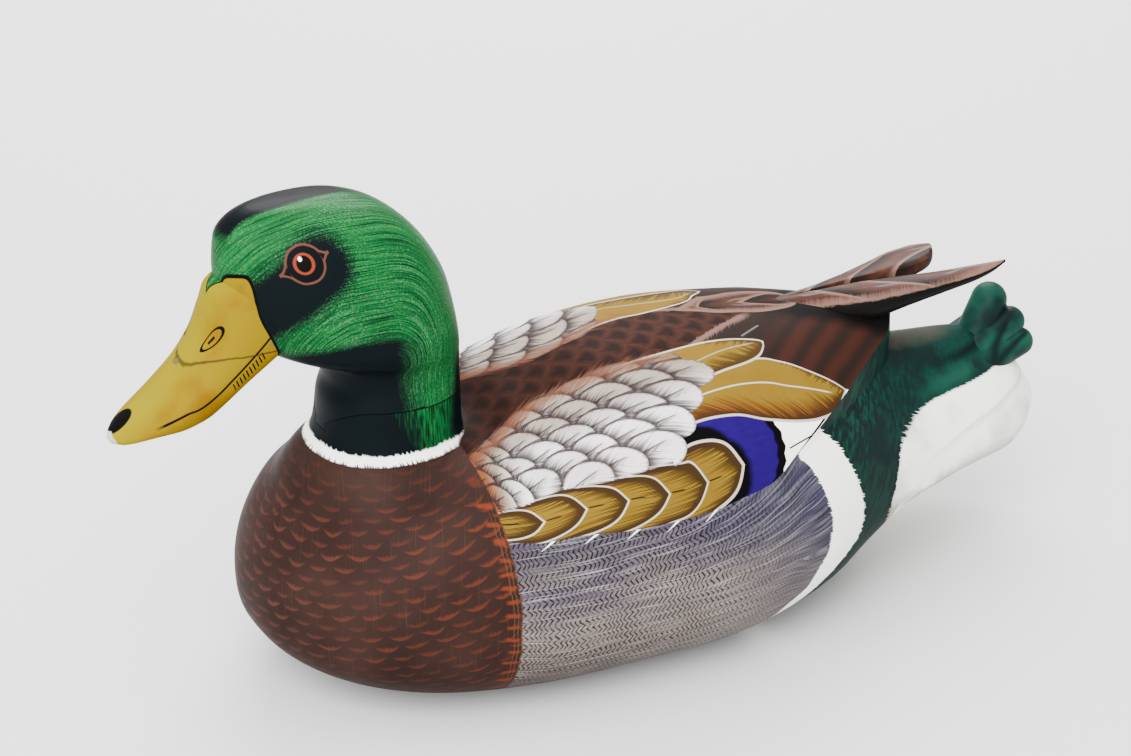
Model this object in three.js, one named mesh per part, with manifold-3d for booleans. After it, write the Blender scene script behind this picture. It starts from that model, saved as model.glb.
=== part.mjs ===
// A hand carved and painted mallard drake decoy, in millimetres, +Z up.
// The bill points along -Y, the tail along +Y, and the drake's left side is +X.
// The origin lies on the flat underside, below the middle of the back.
// Two pieces of wood: the body with its folded wings, curled feathers and tail,
// and the head with its neck and bill, glued on at the neck seam.

import * as THREE from "three";
import { mergeVertices } from "three/addons/utils/BufferGeometryUtils.js";
import Module from "manifold-3d";

const wasm = await Module();
wasm.setup();

// Driving dimensions of the body. A pair is [y, size] unless its comment says otherwise.

const BREAST_Y = -152; // front of the breast
const BREAST_ROUND_Y = -40; // where the breast starts to round off towards the front
const BREAST_ROUNDNESS = 2.3; // 2 is an ellipse, more is blunter
const BREAST_Z = 42; // height of the foremost point of the breast
const KEEL_LIFT = 0.9; // below 1, the underside leaves the floor later than the top comes down
const TAIL_Y = 226; // rear end of the tail
const TAIL_ROUND_Y = 200; // where the tail starts to round off towards its end

const HULL_HALF_WIDTH = [
  [-152, 80.9], [-80, 81.5], [-30, 86.2], [20, 88], [70, 78.2], [110, 62], [130, 54],
  [150, 46.5], [170, 40], [190, 34.5], [203, 28], [226, 18],
];
const BACK_Z = [
  [-152, 110], [-125, 113], [-105, 109.5], [-85, 107.5], [-60, 106.5], [-40, 112.5], [0, 124],
  [40, 126.4], [80, 123], [110, 118.5], [150, 108],
];
const RUMP_Z = [
  [0, 124], [48, 125.8], [62, 122], [80, 114.5], [110, 103.5], [150, 93], [185, 90], [205, 84], [226, 66],
];
const KEEL_Z = [ // below zero the underside is cut flat
  [-152, -3], [0, -3], [40, -2.5], [62, 0], [82, 4], [100, 10.5], [120, 20.5], [140, 30.5], [160, 36.5],
  [190, 41], [226, 50],
];
const WAIST_Z = [
  [-152, 50], [-60, 48], [0, 48], [60, 50], [95, 53], [130, 47.5], [150, 44], [195, 44], [226, 54],
];
const UPPER_ROUNDNESS = [[90, 2.1], [150, 1.6]]; // 2 is an ellipse, less is flatter
const LOWER_ROUNDNESS = [[90, 2.6], [150, 1.7]];
const WING_END_Y = [ // [degrees up the side, y]
  [22, 40], [26, 50], [34, 72], [42, 94], [53, 116.5], [63, 133], [68, 138.5], [90, 150],
];
const WING_STEP = 0.6; // how far back the rump starts behind the carved wing edge

const LEFT_BLADE = [ // folded wing tip: y, inner edge, outer edge, inner top z, outer top z, thickness
  [70, -3, 6, 118, 113, 6],
  [95, -1, 9, 122.5, 118, 8],
  [110, 0, 11, 123, 118.5, 10],
  [130, 1.5, 17, 123.5, 120, 12],
  [150, 5, 19.5, 123.3, 121.5, 9],
  [165, 8, 20, 123.3, 122, 6.5],
  [180, 11, 19.5, 123.8, 122.5, 4.5],
  [190, 13.2, 18, 124.2, 123.2, 3],
  [198, 15.2, 16, 124.4, 124.2, 0.8],
];
const RIGHT_BLADE = [ // the shorter one, with a blunt tip
  [70, -3, 6, 118, 113, 6],
  [95, -1, 9, 122.5, 118, 8],
  [110, 0, 11, 123, 118.5, 10],
  [130, 0.5, 15, 123.5, 120, 12],
  [150, 1, 20.5, 123.5, 121.5, 9],
  [164, 1.5, 24, 124, 122.5, 7.5],
  [172, 4, 24, 124.2, 123, 6.5],
  [177, 8.5, 21.5, 124.4, 123.4, 5],
  [179.5, 13, 18, 124.4, 123.8, 2],
];
const BLADE_UNDERCUT = 0.25; // share of the width by which the underside stops short of the outer edge
const BLADE_EDGE = 0.45; // share of the thickness at which the outer edge lies
const BLADE_SHOULDER = 0.12; // share of the width over which the top rounds into the outer edge
const BLADE_CROWN = 0.6; // rise of the middle of the top

const CURLS = [ // curled tail feathers: how far out, start and end as [y, z], and the two radii
  { out: [0, 0], start: [190, 86], end: [201.5, 97.5], radii: [9.5, 10] },
  { out: [9, 6], start: [186, 79], end: [211, 86], radii: [8.5, 9.5] },
  { out: [14, 9], start: [178, 69], end: [211, 74.5], radii: [8.5, 9.5] },
];

// Driving dimensions of the neck and the head.

const NECK_AND_HEAD = [ // z, front y, back y, half width
  [76, -137.5, -44, 47],
  [86, -134, -46, 46], [90, -131.5, -50, 42], [94, -129, -53, 38.5], [98, -126, -55.5, 35.5],
  [102, -122, -58, 32], [106, -119.2, -60, 29.8], [112, -117.8, -60.3, 28.8], [122, -116.5, -60.4, 28],
  [130, -114.3, -60.4, 27], [137, -114.8, -60.6, 28], [140.5, -119, -60.9, 30], [143.2, -128, -61.2, 32],
  [146.4, -136, -61.6, 33.2], [151, -143.5, -62.5, 34], [160, -151, -64.2, 34], [170, -155, -66.8, 33.8],
  [184, -157.8, -74, 30.7], [196, -157, -85, 24.5], [203, -152, -96, 17.5], [206.6, -143, -107, 10],
  [207.8, -125, -125, 0],
];
const HEAD_ROUNDNESS = 2.15;
const CHEEK_TAPER = 0.18; // how much narrower the head is at the bill than at the back
const NECK_TOP_Z = 139;
const CHEEK_Z = 153;

// Driving dimensions of the bill. A pair is [distance down the bill from its root, size].

const BILL_ROOT = { y: -140, z: 160 };
const BILL_SLOPE = 36; // degrees below level
const BILL_HALF_WIDTH = [
  [-14, 19], [0, 21.2], [20, 20.2], [40, 19.2], [55, 16.6], [65, 12], [70, 7.5], [73, 1.5],
];
const BILL_TOP = [[-14, 27], [4, 27.5], [12, 22.8], [22, 16.2], [37, 11], [54, 9.3], [66, 9.8], [73, 9.5]];
const BILL_EDGE = [[-14, 0], [22, 0], [37, 0.5], [54, 3], [66, 6], [73, 7.5]];
const BILL_BOTTOM = [[-14, -9], [20, -8.7], [37, -9.3], [48, -6.6], [61, 2], [73, 6.5]];

const BILL_FLANK = 0.9; // powers of the section: 1 is an ellipse, less is boxier
const BILL_CREST = 0.95;
const BILL_BELLY = 0.8;

const SEAM = { flatZ: 122, bendY: -104, bendLength: 13.6, drop: 12, gap: 0.3 }; // glue seam of the neck
const SEAM_LEAN = 0.5; // how far forward the bend of the seam moves for each millimetre it is lifted

// How many sections each form has, and how many points each section has.

const HULL_MESH = { ahead: 26, behind: 18, around: 56 };
const STUMP_MESH = { rows: 34, around: 36 };
const HEAD_MESH = { rows: 34, around: 38 };
const BLADE_MESH = { rows: 15 };
const CURL_MESH = { rows: 8, around: 12 };
const BILL_MESH = { rows: 20, around: 28 };
const SEAM_STEPS = 12;

// Curves through stations: a monotone cubic, so a size never overshoots its stations.

function smooth(stations) {
  const x = stations.map((s) => s[0]);
  const y = stations.map((s) => s[1]);
  const last = x.length - 1;
  const step = x.slice(1).map((v, i) => v - x[i]);
  const slope = step.map((h, i) => (y[i + 1] - y[i]) / h);
  const tangent = x.map((_, i) => {
    if (i === 0) return slope[0];
    if (i === last) return slope[last - 1];
    if (slope[i - 1] * slope[i] <= 0) return 0;
    const a = 2 * step[i] + step[i - 1];
    const b = step[i] + 2 * step[i - 1];
    return (a + b) / (a / slope[i - 1] + b / slope[i]);
  });
  return (at) => {
    const v = THREE.MathUtils.clamp(at, x[0], x[last]);
    let i = 0;
    while (i < last - 1 && v > x[i + 1]) i += 1;
    const h = step[i];
    const t = (v - x[i]) / h;
    const t2 = t * t;
    const t3 = t2 * t;
    return (2 * t3 - 3 * t2 + 1) * y[i] + (t3 - 2 * t2 + t) * h * tangent[i]
      + (3 * t2 - 2 * t3) * y[i + 1] + (t3 - t2) * h * tangent[i + 1];
  };
}

const column = (table, index) => smooth(table.map((row) => [row[0], row[index]]));
const signedPower = (value, power) => Math.sign(value) * Math.abs(value) ** power;
const range = (count) => Array.from({ length: count }, (_, i) => i);
const degrees = THREE.MathUtils.radToDeg;
const radians = THREE.MathUtils.degToRad;
const quarterSine = (i, count) => Math.sin((i / (count - 1)) * (Math.PI / 2));

// A skin closes a stack of rings, each with the same number of points, into one body.
// Rings run anticlockwise seen from the last ring, and both ends are closed by a fan.

function skin(rings) {
  const around = rings[0].length;
  const points = rings.flat();
  const middle = (ring) => ring.reduce((sum, p) => sum.add(p), new THREE.Vector3()).divideScalar(around);
  const first = points.push(middle(rings[0])) - 1;
  const final = points.push(middle(rings[rings.length - 1])) - 1;
  const triangles = [];
  for (const j of range(around)) {
    const k = (j + 1) % around;
    triangles.push(first, k, j);
    const top = (rings.length - 1) * around;
    triangles.push(final, top + j, top + k);
    for (const i of range(rings.length - 1)) {
      const low = i * around;
      const high = low + around;
      triangles.push(low + j, low + k, high + k);
      triangles.push(low + j, high + k, high + j);
    }
  }
  const geometry = new THREE.BufferGeometry();
  const numbers = points.flatMap((p) => [p.x, p.y, p.z]);
  geometry.setAttribute("position", new THREE.Float32BufferAttribute(numbers, 3));
  geometry.setIndex(triangles);
  return geometry;
}

function solid(geometry) {
  const bare = geometry.clone();
  bare.deleteAttribute("normal");
  bare.deleteAttribute("uv");
  const merged = mergeVertices(bare, 1e-3);
  const index = Array.from(merged.index.array);
  const whole = [];
  for (let i = 0; i < index.length; i += 3) {
    const [a, b, c] = index.slice(i, i + 3);
    if (a !== b && b !== c && a !== c) whole.push(a, b, c);
  }
  const vertProperties = new Float32Array(merged.attributes.position.array);
  const triVerts = new Uint32Array(whole);
  return new wasm.Manifold(new wasm.Mesh({ numProp: 3, vertProperties, triVerts }));
}

function geometryOf(body) {
  const mesh = body.getMesh();
  const geometry = new THREE.BufferGeometry();
  geometry.setAttribute("position", new THREE.Float32BufferAttribute(mesh.vertProperties, 3));
  geometry.setIndex(Array.from(mesh.triVerts));
  geometry.computeVertexNormals();
  return geometry;
}

// The hull: superellipse sections along the body, cut flat below, closed round at the breast and the tail.

const hullHalf = smooth(HULL_HALF_WIDTH);
const backZ = smooth(BACK_Z);
const rumpZ = smooth(RUMP_Z);
const keelZ = smooth(KEEL_Z);
const waistZ = smooth(WAIST_Z);
const upperRoundness = smooth(UPPER_ROUNDNESS);
const lowerRoundness = smooth(LOWER_ROUNDNESS);
const wingEndY = smooth(WING_END_Y);

function hullPoint(y, angle, topZ) {
  const forward = Math.max(0, (BREAST_ROUND_Y - y) / (BREAST_ROUND_Y - BREAST_Y));
  const breast = Math.sqrt(Math.max(0, 1 - forward ** BREAST_ROUNDNESS));
  const backward = Math.max(0, (y - TAIL_ROUND_Y) / (TAIL_Y - TAIL_ROUND_Y));
  const tail = Math.sqrt(Math.max(0, 1 - backward ** 2));
  const waist = BREAST_Z + (waistZ(y) - BREAST_Z) * breast;
  const top = BREAST_Z + (topZ(y) - BREAST_Z) * breast;
  const keel = BREAST_Z - (BREAST_Z - keelZ(y)) * breast ** KEEL_LIFT;
  const across = Math.cos(angle);
  const up = Math.sin(angle);
  const roundness = up > 0 ? upperRoundness(y) : lowerRoundness(y);
  const reach = up > 0 ? top - waist : waist - keel;
  const x = hullHalf(y) * breast * tail * signedPower(across, 2 / roundness);
  const z = waist + reach * tail * signedPower(up, 2 / roundness);
  return new THREE.Vector3(x, y, Math.max(0, z));
}

function hull({ ahead, behind, around }) {
  const angles = range(around).map((j) => -Math.PI / 2 + (2 * Math.PI * j) / around);
  const edge = angles.map((a) => wingEndY(degrees(Math.asin(Math.sin(a)))));
  const wings = range(ahead).map((i) => {
    const t = i / (ahead - 1);
    const along = (t + 1 - Math.cos((t * Math.PI) / 2)) / 2;
    return angles.map((a, j) => hullPoint(BREAST_Y + (edge[j] - BREAST_Y) * along, a, backZ));
  });
  const rump = range(behind).map((i) => {
    const along = quarterSine(i, behind);
    return angles.map((a, j) => {
      const start = edge[j] + WING_STEP;
      return hullPoint(start + (TAIL_Y - start) * along, a, rumpZ);
    });
  });
  return skin([...wings, ...rump].map((ring) => ring.toReversed()));
}

// A folded wing tip: a flat tapering blade that leaves the back and ends over the rump.

function blade(table, side, { rows }) {
  const first = table[0][0];
  const last = table[table.length - 1][0];
  const [inner, outer, innerZ, outerZ, thickness] = [1, 2, 3, 4, 5].map((i) => column(table, i));
  const rings = range(rows).map((i) => {
    const y = first + (last - first) * quarterSine(i, rows);
    const width = outer(y) - inner(y);
    const deep = thickness(y);
    const section = [
      [inner(y), innerZ(y) - deep],
      [outer(y) - BLADE_UNDERCUT * width, outerZ(y) - deep],
      [outer(y), outerZ(y) - BLADE_EDGE * deep],
      [outer(y) - BLADE_SHOULDER * width, outerZ(y)],
      [(inner(y) + outer(y)) / 2, (innerZ(y) + outerZ(y)) / 2 + BLADE_CROWN],
      [inner(y), innerZ(y)],
    ];
    const ring = section.map(([x, z]) => new THREE.Vector3(side * x, y, z));
    return side > 0 ? ring.toReversed() : ring;
  });
  return skin(rings);
}

// A curled feather: a round-ended finger that grows from its start to its end.

function curl({ out, start: from, end: to, radii }, side, { rows, around }) {
  const start = new THREE.Vector3(side * out[0], ...from);
  const axis = new THREE.Vector3(side * out[1], ...to).sub(start);
  const length = axis.length();
  const turn = new THREE.Quaternion().setFromUnitVectors(new THREE.Vector3(0, 0, 1), axis.normalize());
  const rings = range(rows).map((i) => {
    const lean = Math.PI * (i / (rows - 1));
    const near = lean < Math.PI / 2;
    const radius = near ? radii[0] : radii[1];
    const height = (near ? 0 : length) - radius * Math.cos(lean);
    const reach = radius * Math.sin(lean);
    return range(around).map((j) => {
      const a = (2 * Math.PI * j) / around;
      const upright = new THREE.Vector3(reach * Math.cos(a), reach * Math.sin(a), height);
      return upright.applyQuaternion(turn).add(start);
    });
  });
  return skin(rings);
}

// Neck and head: level oval sections from the flared foot of the neck up to the crown.
// The stations are spaced by the length of the profile, so the jaw and the crown get their share of sections.

function neckAndHead({ rows, around }) {
  const lengths = [0];
  for (const i of range(NECK_AND_HEAD.length - 1)) {
    const [low, high] = [NECK_AND_HEAD[i], NECK_AND_HEAD[i + 1]];
    const spread = Math.max(...[1, 2, 3].map((k) => Math.abs(high[k] - low[k])));
    lengths.push(lengths[i] + Math.hypot(high[0] - low[0], spread));
  }
  const whole = lengths[lengths.length - 1];
  const profile = (k) => smooth(NECK_AND_HEAD.map((row, i) => [lengths[i], row[k]]));
  const [height, front, back, half] = range(4).map(profile);
  const rings = range(rows).map((i) => {
    const s = (whole * i) / rows;
    const z = height(s);
    const cheek = THREE.MathUtils.clamp((z - NECK_TOP_Z) / (CHEEK_Z - NECK_TOP_Z), 0, 1);
    const middle = (front(s) + back(s)) / 2;
    return range(around).map((j) => {
      const a = (2 * Math.PI * j) / around;
      const along = signedPower(Math.cos(a), 2 / HEAD_ROUNDNESS);
      const across = signedPower(Math.sin(a), 2 / HEAD_ROUNDNESS);
      const x = half(s) * across * (1 + CHEEK_TAPER * cheek * Math.cos(a));
      return new THREE.Vector3(-x, middle + (back(s) - middle) * along, z);
    });
  });
  const crown = new THREE.Vector3(0, front(whole), height(whole));
  rings.push(rings[0].map(() => crown.clone()));
  return skin(rings);
}

// The bill: sections square to its own slope, high where it meets the forehead and flat at the tip.

function bill({ rows, around }) {
  const [half, top, edge, bottom] = [BILL_HALF_WIDTH, BILL_TOP, BILL_EDGE, BILL_BOTTOM].map(smooth);
  const slope = radians(BILL_SLOPE);
  const along = new THREE.Vector3(0, -Math.cos(slope), -Math.sin(slope));
  const upright = new THREE.Vector3(0, -Math.sin(slope), Math.cos(slope));
  const root = new THREE.Vector3(0, BILL_ROOT.y, BILL_ROOT.z);
  const start = BILL_TOP[0][0];
  const tip = BILL_TOP[BILL_TOP.length - 1][0];
  const rings = range(rows).map((i) => {
    const q = start + (tip - start) * quarterSine(i, rows);
    return range(around).map((j) => {
      const a = (2 * Math.PI * j) / around;
      const up = Math.sin(a);
      const crest = (top(q) - edge(q)) * Math.max(0, up) ** BILL_CREST;
      const belly = (edge(q) - bottom(q)) * Math.max(0, -up) ** BILL_BELLY;
      return root.clone()
        .addScaledVector(along, q)
        .addScaledVector(upright, edge(q) + crest - belly)
        .add(new THREE.Vector3(half(q) * signedPower(Math.cos(a), BILL_FLANK), 0, 0));
    });
  });
  return skin(rings);
}

// The glue seam: level under the neck, curving down into a lip at the front.
// Everything above it belongs to the head.

function aboveSeam(lift) {
  const far = 2 * TAIL_Y;
  const outline = new THREE.Shape();
  outline.moveTo(far, SEAM.flatZ + lift);
  outline.lineTo(far, far);
  outline.lineTo(-far, far);
  outline.lineTo(-far, SEAM.flatZ - SEAM.drop + lift);
  for (const i of range(SEAM_STEPS + 1)) {
    const a = (Math.PI / 2) * (1 - i / SEAM_STEPS);
    outline.lineTo(
      SEAM.bendY - SEAM.bendLength * Math.sin(a) - SEAM_LEAN * lift,
      SEAM.flatZ - SEAM.drop * (1 - Math.cos(a)) + lift,
    );
  }
  const block = new THREE.ExtrudeGeometry(outline, { depth: 2 * far, bevelEnabled: false });
  block.applyMatrix4(new THREE.Matrix4().set(0, 0, 1, -far, 1, 0, 0, 0, 0, 1, 0, 0, 0, 0, 0, 1));
  return solid(block);
}

// The two pieces.

function carvedBody() {
  const stump = solid(neckAndHead(STUMP_MESH)).subtract(aboveSeam(0));
  let body = solid(hull(HULL_MESH)).add(stump);
  body = body.add(solid(blade(LEFT_BLADE, 1, BLADE_MESH)));
  body = body.add(solid(blade(RIGHT_BLADE, -1, BLADE_MESH)));
  for (const feather of CURLS) {
    const onCentre = Math.max(...feather.out) === 0;
    for (const side of onCentre ? [1] : [1, -1]) {
      body = body.add(solid(curl(feather, side, CURL_MESH)));
    }
  }
  return geometryOf(body);
}

function carvedHead() {
  const head = solid(neckAndHead(HEAD_MESH)).intersect(aboveSeam(SEAM.gap));
  return geometryOf(head.add(solid(bill(BILL_MESH))));
}

function piece(name, geometry, colour, roughness) {
  const material = new THREE.MeshStandardMaterial({ color: colour, roughness, metalness: 0 });
  const mesh = new THREE.Mesh(geometry, material);
  mesh.name = name;
  return mesh;
}

const decoy = new THREE.Group();
decoy.add(piece("body", carvedBody(), 0x6a564c, 0.55));
decoy.add(piece("head", carvedHead(), 0x14612c, 0.5));

export default decoy;
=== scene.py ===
import math

import bpy
import numpy as np
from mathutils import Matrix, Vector


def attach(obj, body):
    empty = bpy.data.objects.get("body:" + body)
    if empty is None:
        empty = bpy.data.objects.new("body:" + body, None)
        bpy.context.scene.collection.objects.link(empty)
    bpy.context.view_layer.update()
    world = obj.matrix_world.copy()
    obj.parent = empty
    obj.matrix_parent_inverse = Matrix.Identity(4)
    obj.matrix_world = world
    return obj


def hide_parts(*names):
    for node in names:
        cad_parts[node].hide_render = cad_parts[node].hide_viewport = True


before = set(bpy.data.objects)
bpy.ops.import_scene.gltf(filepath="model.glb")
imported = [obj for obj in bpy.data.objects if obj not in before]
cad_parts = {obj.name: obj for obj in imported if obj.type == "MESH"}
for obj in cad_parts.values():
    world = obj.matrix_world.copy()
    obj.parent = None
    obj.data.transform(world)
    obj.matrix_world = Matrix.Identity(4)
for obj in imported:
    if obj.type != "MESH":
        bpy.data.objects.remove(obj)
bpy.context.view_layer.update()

# A carved and painted mallard drake decoy. Sizes are in millimetres: the bill points along -Y,
# the tail along +Y, the drake's left side is +X, and it stands on the plane z = 0.

MM = 0.001


# Carved forms. A pair is [station, size]; the stations run along the body unless a comment says otherwise.

BREAST_Y = -152
BREAST_ROUND_Y = -40
BREAST_ROUNDNESS = 2.3
BREAST_Z = 42
KEEL_LIFT = 0.9
TAIL_Y = 226
TAIL_ROUND_Y = 200

HULL_HALF_WIDTH = [
    [-152, 80.9], [-80, 81.5], [-30, 86.2], [20, 88], [70, 78.2], [110, 62], [130, 54],
    [150, 46.5], [170, 40], [190, 34.5], [203, 28], [226, 18],
]
BACK_Z = [
    [-152, 110], [-125, 113], [-105, 109.5], [-85, 107.5], [-60, 106.5], [-40, 112.5], [0, 124],
    [40, 126.4], [80, 123], [110, 118.5], [150, 108],
]
RUMP_Z = [
    [0, 124], [48, 125.8], [62, 122], [80, 114.5], [110, 103.5], [150, 93], [185, 90], [205, 84], [226, 66],
]
KEEL_Z = [
    [-152, -3], [0, -3], [40, -2.5], [62, 0], [82, 4], [100, 10.5], [120, 20.5], [140, 30.5], [160, 36.5],
    [190, 41], [226, 50],
]
WAIST_Z = [
    [-152, 50], [-60, 48], [0, 48], [60, 50], [95, 53], [130, 47.5], [150, 44], [195, 44], [226, 54],
]
UPPER_ROUNDNESS = [[90, 2.1], [150, 1.6]]
LOWER_ROUNDNESS = [[90, 2.6], [150, 1.7]]
WING_END_Y = [  # [degrees up the side, y]
    [22, 40], [26, 50], [34, 72], [42, 94], [53, 116.5], [63, 133], [68, 138.5], [90, 150],
]
WING_STEP = 0.5

LEFT_BLADE = [  # y, inner edge, outer edge, inner top z, outer top z, thickness
    [70, -3, 6, 118, 113, 6], [95, -1, 9, 122.5, 118, 8], [110, 0, 11, 123, 118.5, 10],
    [130, 1.5, 17, 123.5, 120, 12], [150, 5, 19.5, 123.3, 121.5, 9], [165, 8, 20, 123.3, 122, 6.5],
    [180, 11, 19.5, 123.8, 122.5, 4.5], [190, 13.2, 18, 124.2, 123.2, 3], [198, 15.2, 16, 124.4, 124.2, 0.8],
]
RIGHT_BLADE = [
    [70, -3, 6, 118, 113, 6], [95, -1, 9, 122.5, 118, 8], [110, 0, 11, 123, 118.5, 10],
    [130, 0.5, 15, 123.5, 120, 12], [150, 1, 20.5, 123.5, 121.5, 9], [164, 1.5, 24, 124, 122.5, 7.5],
    [172, 4, 24, 124.2, 123, 6.5], [177, 8.5, 21.5, 124.4, 123.4, 5], [179.5, 13, 18, 124.4, 123.8, 2],
]
BLADE_UNDERCUT = 0.25
BLADE_EDGE = 0.45
BLADE_SHOULDER = 0.12
BLADE_CROWN = 0.6
CORNER_CUT = 0.22  # share of an edge that rounding takes off at each of its ends
CORNER_CUTS = 2

CURLS = [  # |x| at both ends, (y, z) of the start and of the end, and the radius at each
    {"out": (0, 0), "start": (196, 84), "end": (202.5, 99), "radii": (8.6, 8)},
    {"out": (8, 6), "start": (188, 77.5), "end": (210, 89.3), "radii": (7, 6.8)},
    {"out": (14, 9), "start": (176, 71.5), "end": (213.5, 80), "radii": (7, 6.5)},
]

NECK_AND_HEAD = [  # z, front y, back y, half width
    [76, -137.5, -44, 47], [86, -134, -46, 46], [90, -131.5, -50, 42], [94, -129, -53, 38.5],
    [98, -126, -55.5, 35.5], [102, -122, -58, 32], [106, -119.2, -60, 29.8], [112, -117.8, -60.3, 28.8],
    [122, -116.5, -60.4, 28], [130, -114.3, -60.4, 27], [137, -114.8, -60.6, 28], [140.5, -119, -60.9, 30],
    [143.2, -128, -61.2, 32], [146.4, -136, -61.6, 33.2], [151, -143.5, -62.5, 34], [160, -151, -64.2, 34],
    [170, -155, -66.8, 33.8], [184, -157.8, -74, 30.7], [196, -157, -85, 24.5], [203, -152, -96, 17.5],
    [206.6, -143, -107, 10], [207.8, -125, -125, 0],
]
HEAD_ROUNDNESS = 2.15
CHEEK_TAPER = 0.18
NECK_TOP_Z = 139
CHEEK_Z = 153

BILL_ROOT = (-140, 160)  # (y, z)
BILL_SLOPE = 36  # degrees
BILL_HALF_WIDTH = [  # by the distance down the bill, as are the next three
    [-14, 19], [0, 21.2], [20, 20.2], [40, 19.2], [55, 16.6], [65, 12], [70, 7.5], [73, 1.5],
]
BILL_TOP = [[-14, 27], [4, 27.5], [12, 22.8], [22, 16.2], [37, 11], [54, 9.3], [66, 9.8], [73, 9.5]]
BILL_EDGE = [[-14, 0], [22, 0], [37, 0.5], [54, 3], [66, 6], [73, 7.5]]
BILL_BOTTOM = [[-14, -9], [20, -8.7], [37, -9.3], [48, -6.6], [61, 2], [73, 6.5]]
BILL_FLANK = 0.9
BILL_CREST = 0.95
BILL_BELLY = 0.8

SEAM_Z = 122
SEAM_BEND_Y = -104
SEAM_BEND_LENGTH = 13.6
SEAM_DROP = 12
SEAM_GAP = 0.3
SEAM_STEPS = 33  # points round the bend


# Curves and sections.


def smooth(stations):
    """A monotone cubic through the stations, held level past both ends."""
    x, y = np.array(stations, float).T
    step = np.diff(x)
    slope = np.diff(y) / step
    tangent = np.zeros(len(x))
    tangent[0] = slope[0]
    tangent[-1] = slope[-1]
    for i in range(1, len(x) - 1):
        if slope[i - 1] * slope[i] > 0:
            a = 2 * step[i] + step[i - 1]
            b = step[i] + 2 * step[i - 1]
            tangent[i] = (a + b) / (a / slope[i - 1] + b / slope[i])

    def curve(at):
        v = np.clip(at, x[0], x[-1])
        i = np.clip(np.searchsorted(x, v) - 1, 0, len(step) - 1)
        t = (v - x[i]) / step[i]
        start = (2 * t**3 - 3 * t**2 + 1) * y[i] + (t**3 - 2 * t**2 + t) * step[i] * tangent[i]
        return start + (3 * t**2 - 2 * t**3) * y[i + 1] + (t**3 - t**2) * step[i] * tangent[i + 1]

    return curve


def columns(table):
    """One curve for each size in a table whose first column is the station."""
    return [smooth([[row[0], row[k]] for row in table]) for k in range(1, len(table[0]))]


def signed_power(value, power):
    return np.sign(value) * np.abs(value) ** power


def quarter_sine(count):
    return np.sin(np.linspace(0, math.pi / 2, count))


def ring_angles(count):
    return np.arange(count) * 2 * math.pi / count


hull_half = smooth(HULL_HALF_WIDTH)
back_z = smooth(BACK_Z)
rump_z = smooth(RUMP_Z)
keel_z = smooth(KEEL_Z)
waist_z = smooth(WAIST_Z)
upper_roundness = smooth(UPPER_ROUNDNESS)
lower_roundness = smooth(LOWER_ROUNDNESS)
wing_end_y = smooth(WING_END_Y)


def hull_point(y, angle, top_z):
    """The point of the hull at y and at an angle round its section.
    The angle is 0 on the left side and a quarter turn at the top."""
    forward = np.clip((BREAST_ROUND_Y - y) / (BREAST_ROUND_Y - BREAST_Y), 0, 1)
    breast = np.sqrt(1 - forward**BREAST_ROUNDNESS)
    backward = np.clip((y - TAIL_ROUND_Y) / (TAIL_Y - TAIL_ROUND_Y), 0, 1)
    tail = np.sqrt(1 - backward**2)
    waist = BREAST_Z + (waist_z(y) - BREAST_Z) * breast
    top = BREAST_Z + (top_z(y) - BREAST_Z) * breast
    keel = BREAST_Z - (BREAST_Z - keel_z(y)) * breast**KEEL_LIFT
    across = np.cos(angle)
    up = np.sin(angle)
    roundness = np.where(up > 0, upper_roundness(y), lower_roundness(y))
    reach = np.where(up > 0, top - waist, waist - keel)
    x = hull_half(y) * breast * tail * signed_power(across, 2 / roundness)
    z = waist + reach * tail * signed_power(up, 2 / roundness)
    return np.stack([x, y + 0 * x, np.maximum(0, z)], -1)


def hull(ahead, behind, around):
    angle = ring_angles(around) - math.pi / 2
    edge = wing_end_y(np.degrees(np.arcsin(np.sin(angle))))
    t = np.linspace(0, 1, ahead)[:, None]
    along = (t + 1 - np.cos(t * math.pi / 2)) / 2
    wings = hull_point(BREAST_Y + (edge - BREAST_Y) * along, angle, back_z)
    start = edge + WING_STEP
    rump = hull_point(start + (TAIL_Y - start) * quarter_sine(behind)[:, None], angle, rump_z)
    return np.concatenate([wings, rump])[:, ::-1]


def blade(table, side, rows):
    inner, outer, inner_z, outer_z, thickness = columns(table)
    y = table[0][0] + (table[-1][0] - table[0][0]) * quarter_sine(rows)
    width = outer(y) - inner(y)
    deep = thickness(y)
    section = [
        (inner(y), inner_z(y) - deep),
        (outer(y) - BLADE_UNDERCUT * width, outer_z(y) - deep),
        (outer(y), outer_z(y) - BLADE_EDGE * deep),
        (outer(y) - BLADE_SHOULDER * width, outer_z(y)),
        ((inner(y) + outer(y)) / 2, (inner_z(y) + outer_z(y)) / 2 + BLADE_CROWN),
        (inner(y), inner_z(y)),
    ]
    rings = np.stack([np.stack([side * x, y, z], -1) for x, z in section], 1)
    kept = 1 - CORNER_CUT
    for _ in range(CORNER_CUTS):
        ahead = np.roll(rings, -1, 1)
        cut = np.stack([rings * kept + ahead * CORNER_CUT, rings * CORNER_CUT + ahead * kept], 2)
        rings = cut.reshape(len(rings), -1, 3)
    return rings[:, ::-1] if side > 0 else rings


def curl(feather, side, rows, around):
    start = np.array([side * feather["out"][0], *feather["start"]], float)
    axis = np.array([side * feather["out"][1], *feather["end"]], float) - start
    length = np.linalg.norm(axis)
    turn = Vector((0, 0, 1)).rotation_difference(Vector(axis)).to_matrix()
    lean = np.linspace(0, math.pi, rows)[:, None]
    near = lean < math.pi / 2
    radius = np.where(near, feather["radii"][0], feather["radii"][1])
    height = np.where(near, 0, length) - radius * np.cos(lean)
    reach = radius * np.sin(lean)
    a = ring_angles(around)
    upright = np.stack([reach * np.cos(a), reach * np.sin(a), height + 0 * a], -1)
    return upright @ np.array(turn).T + start


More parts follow.
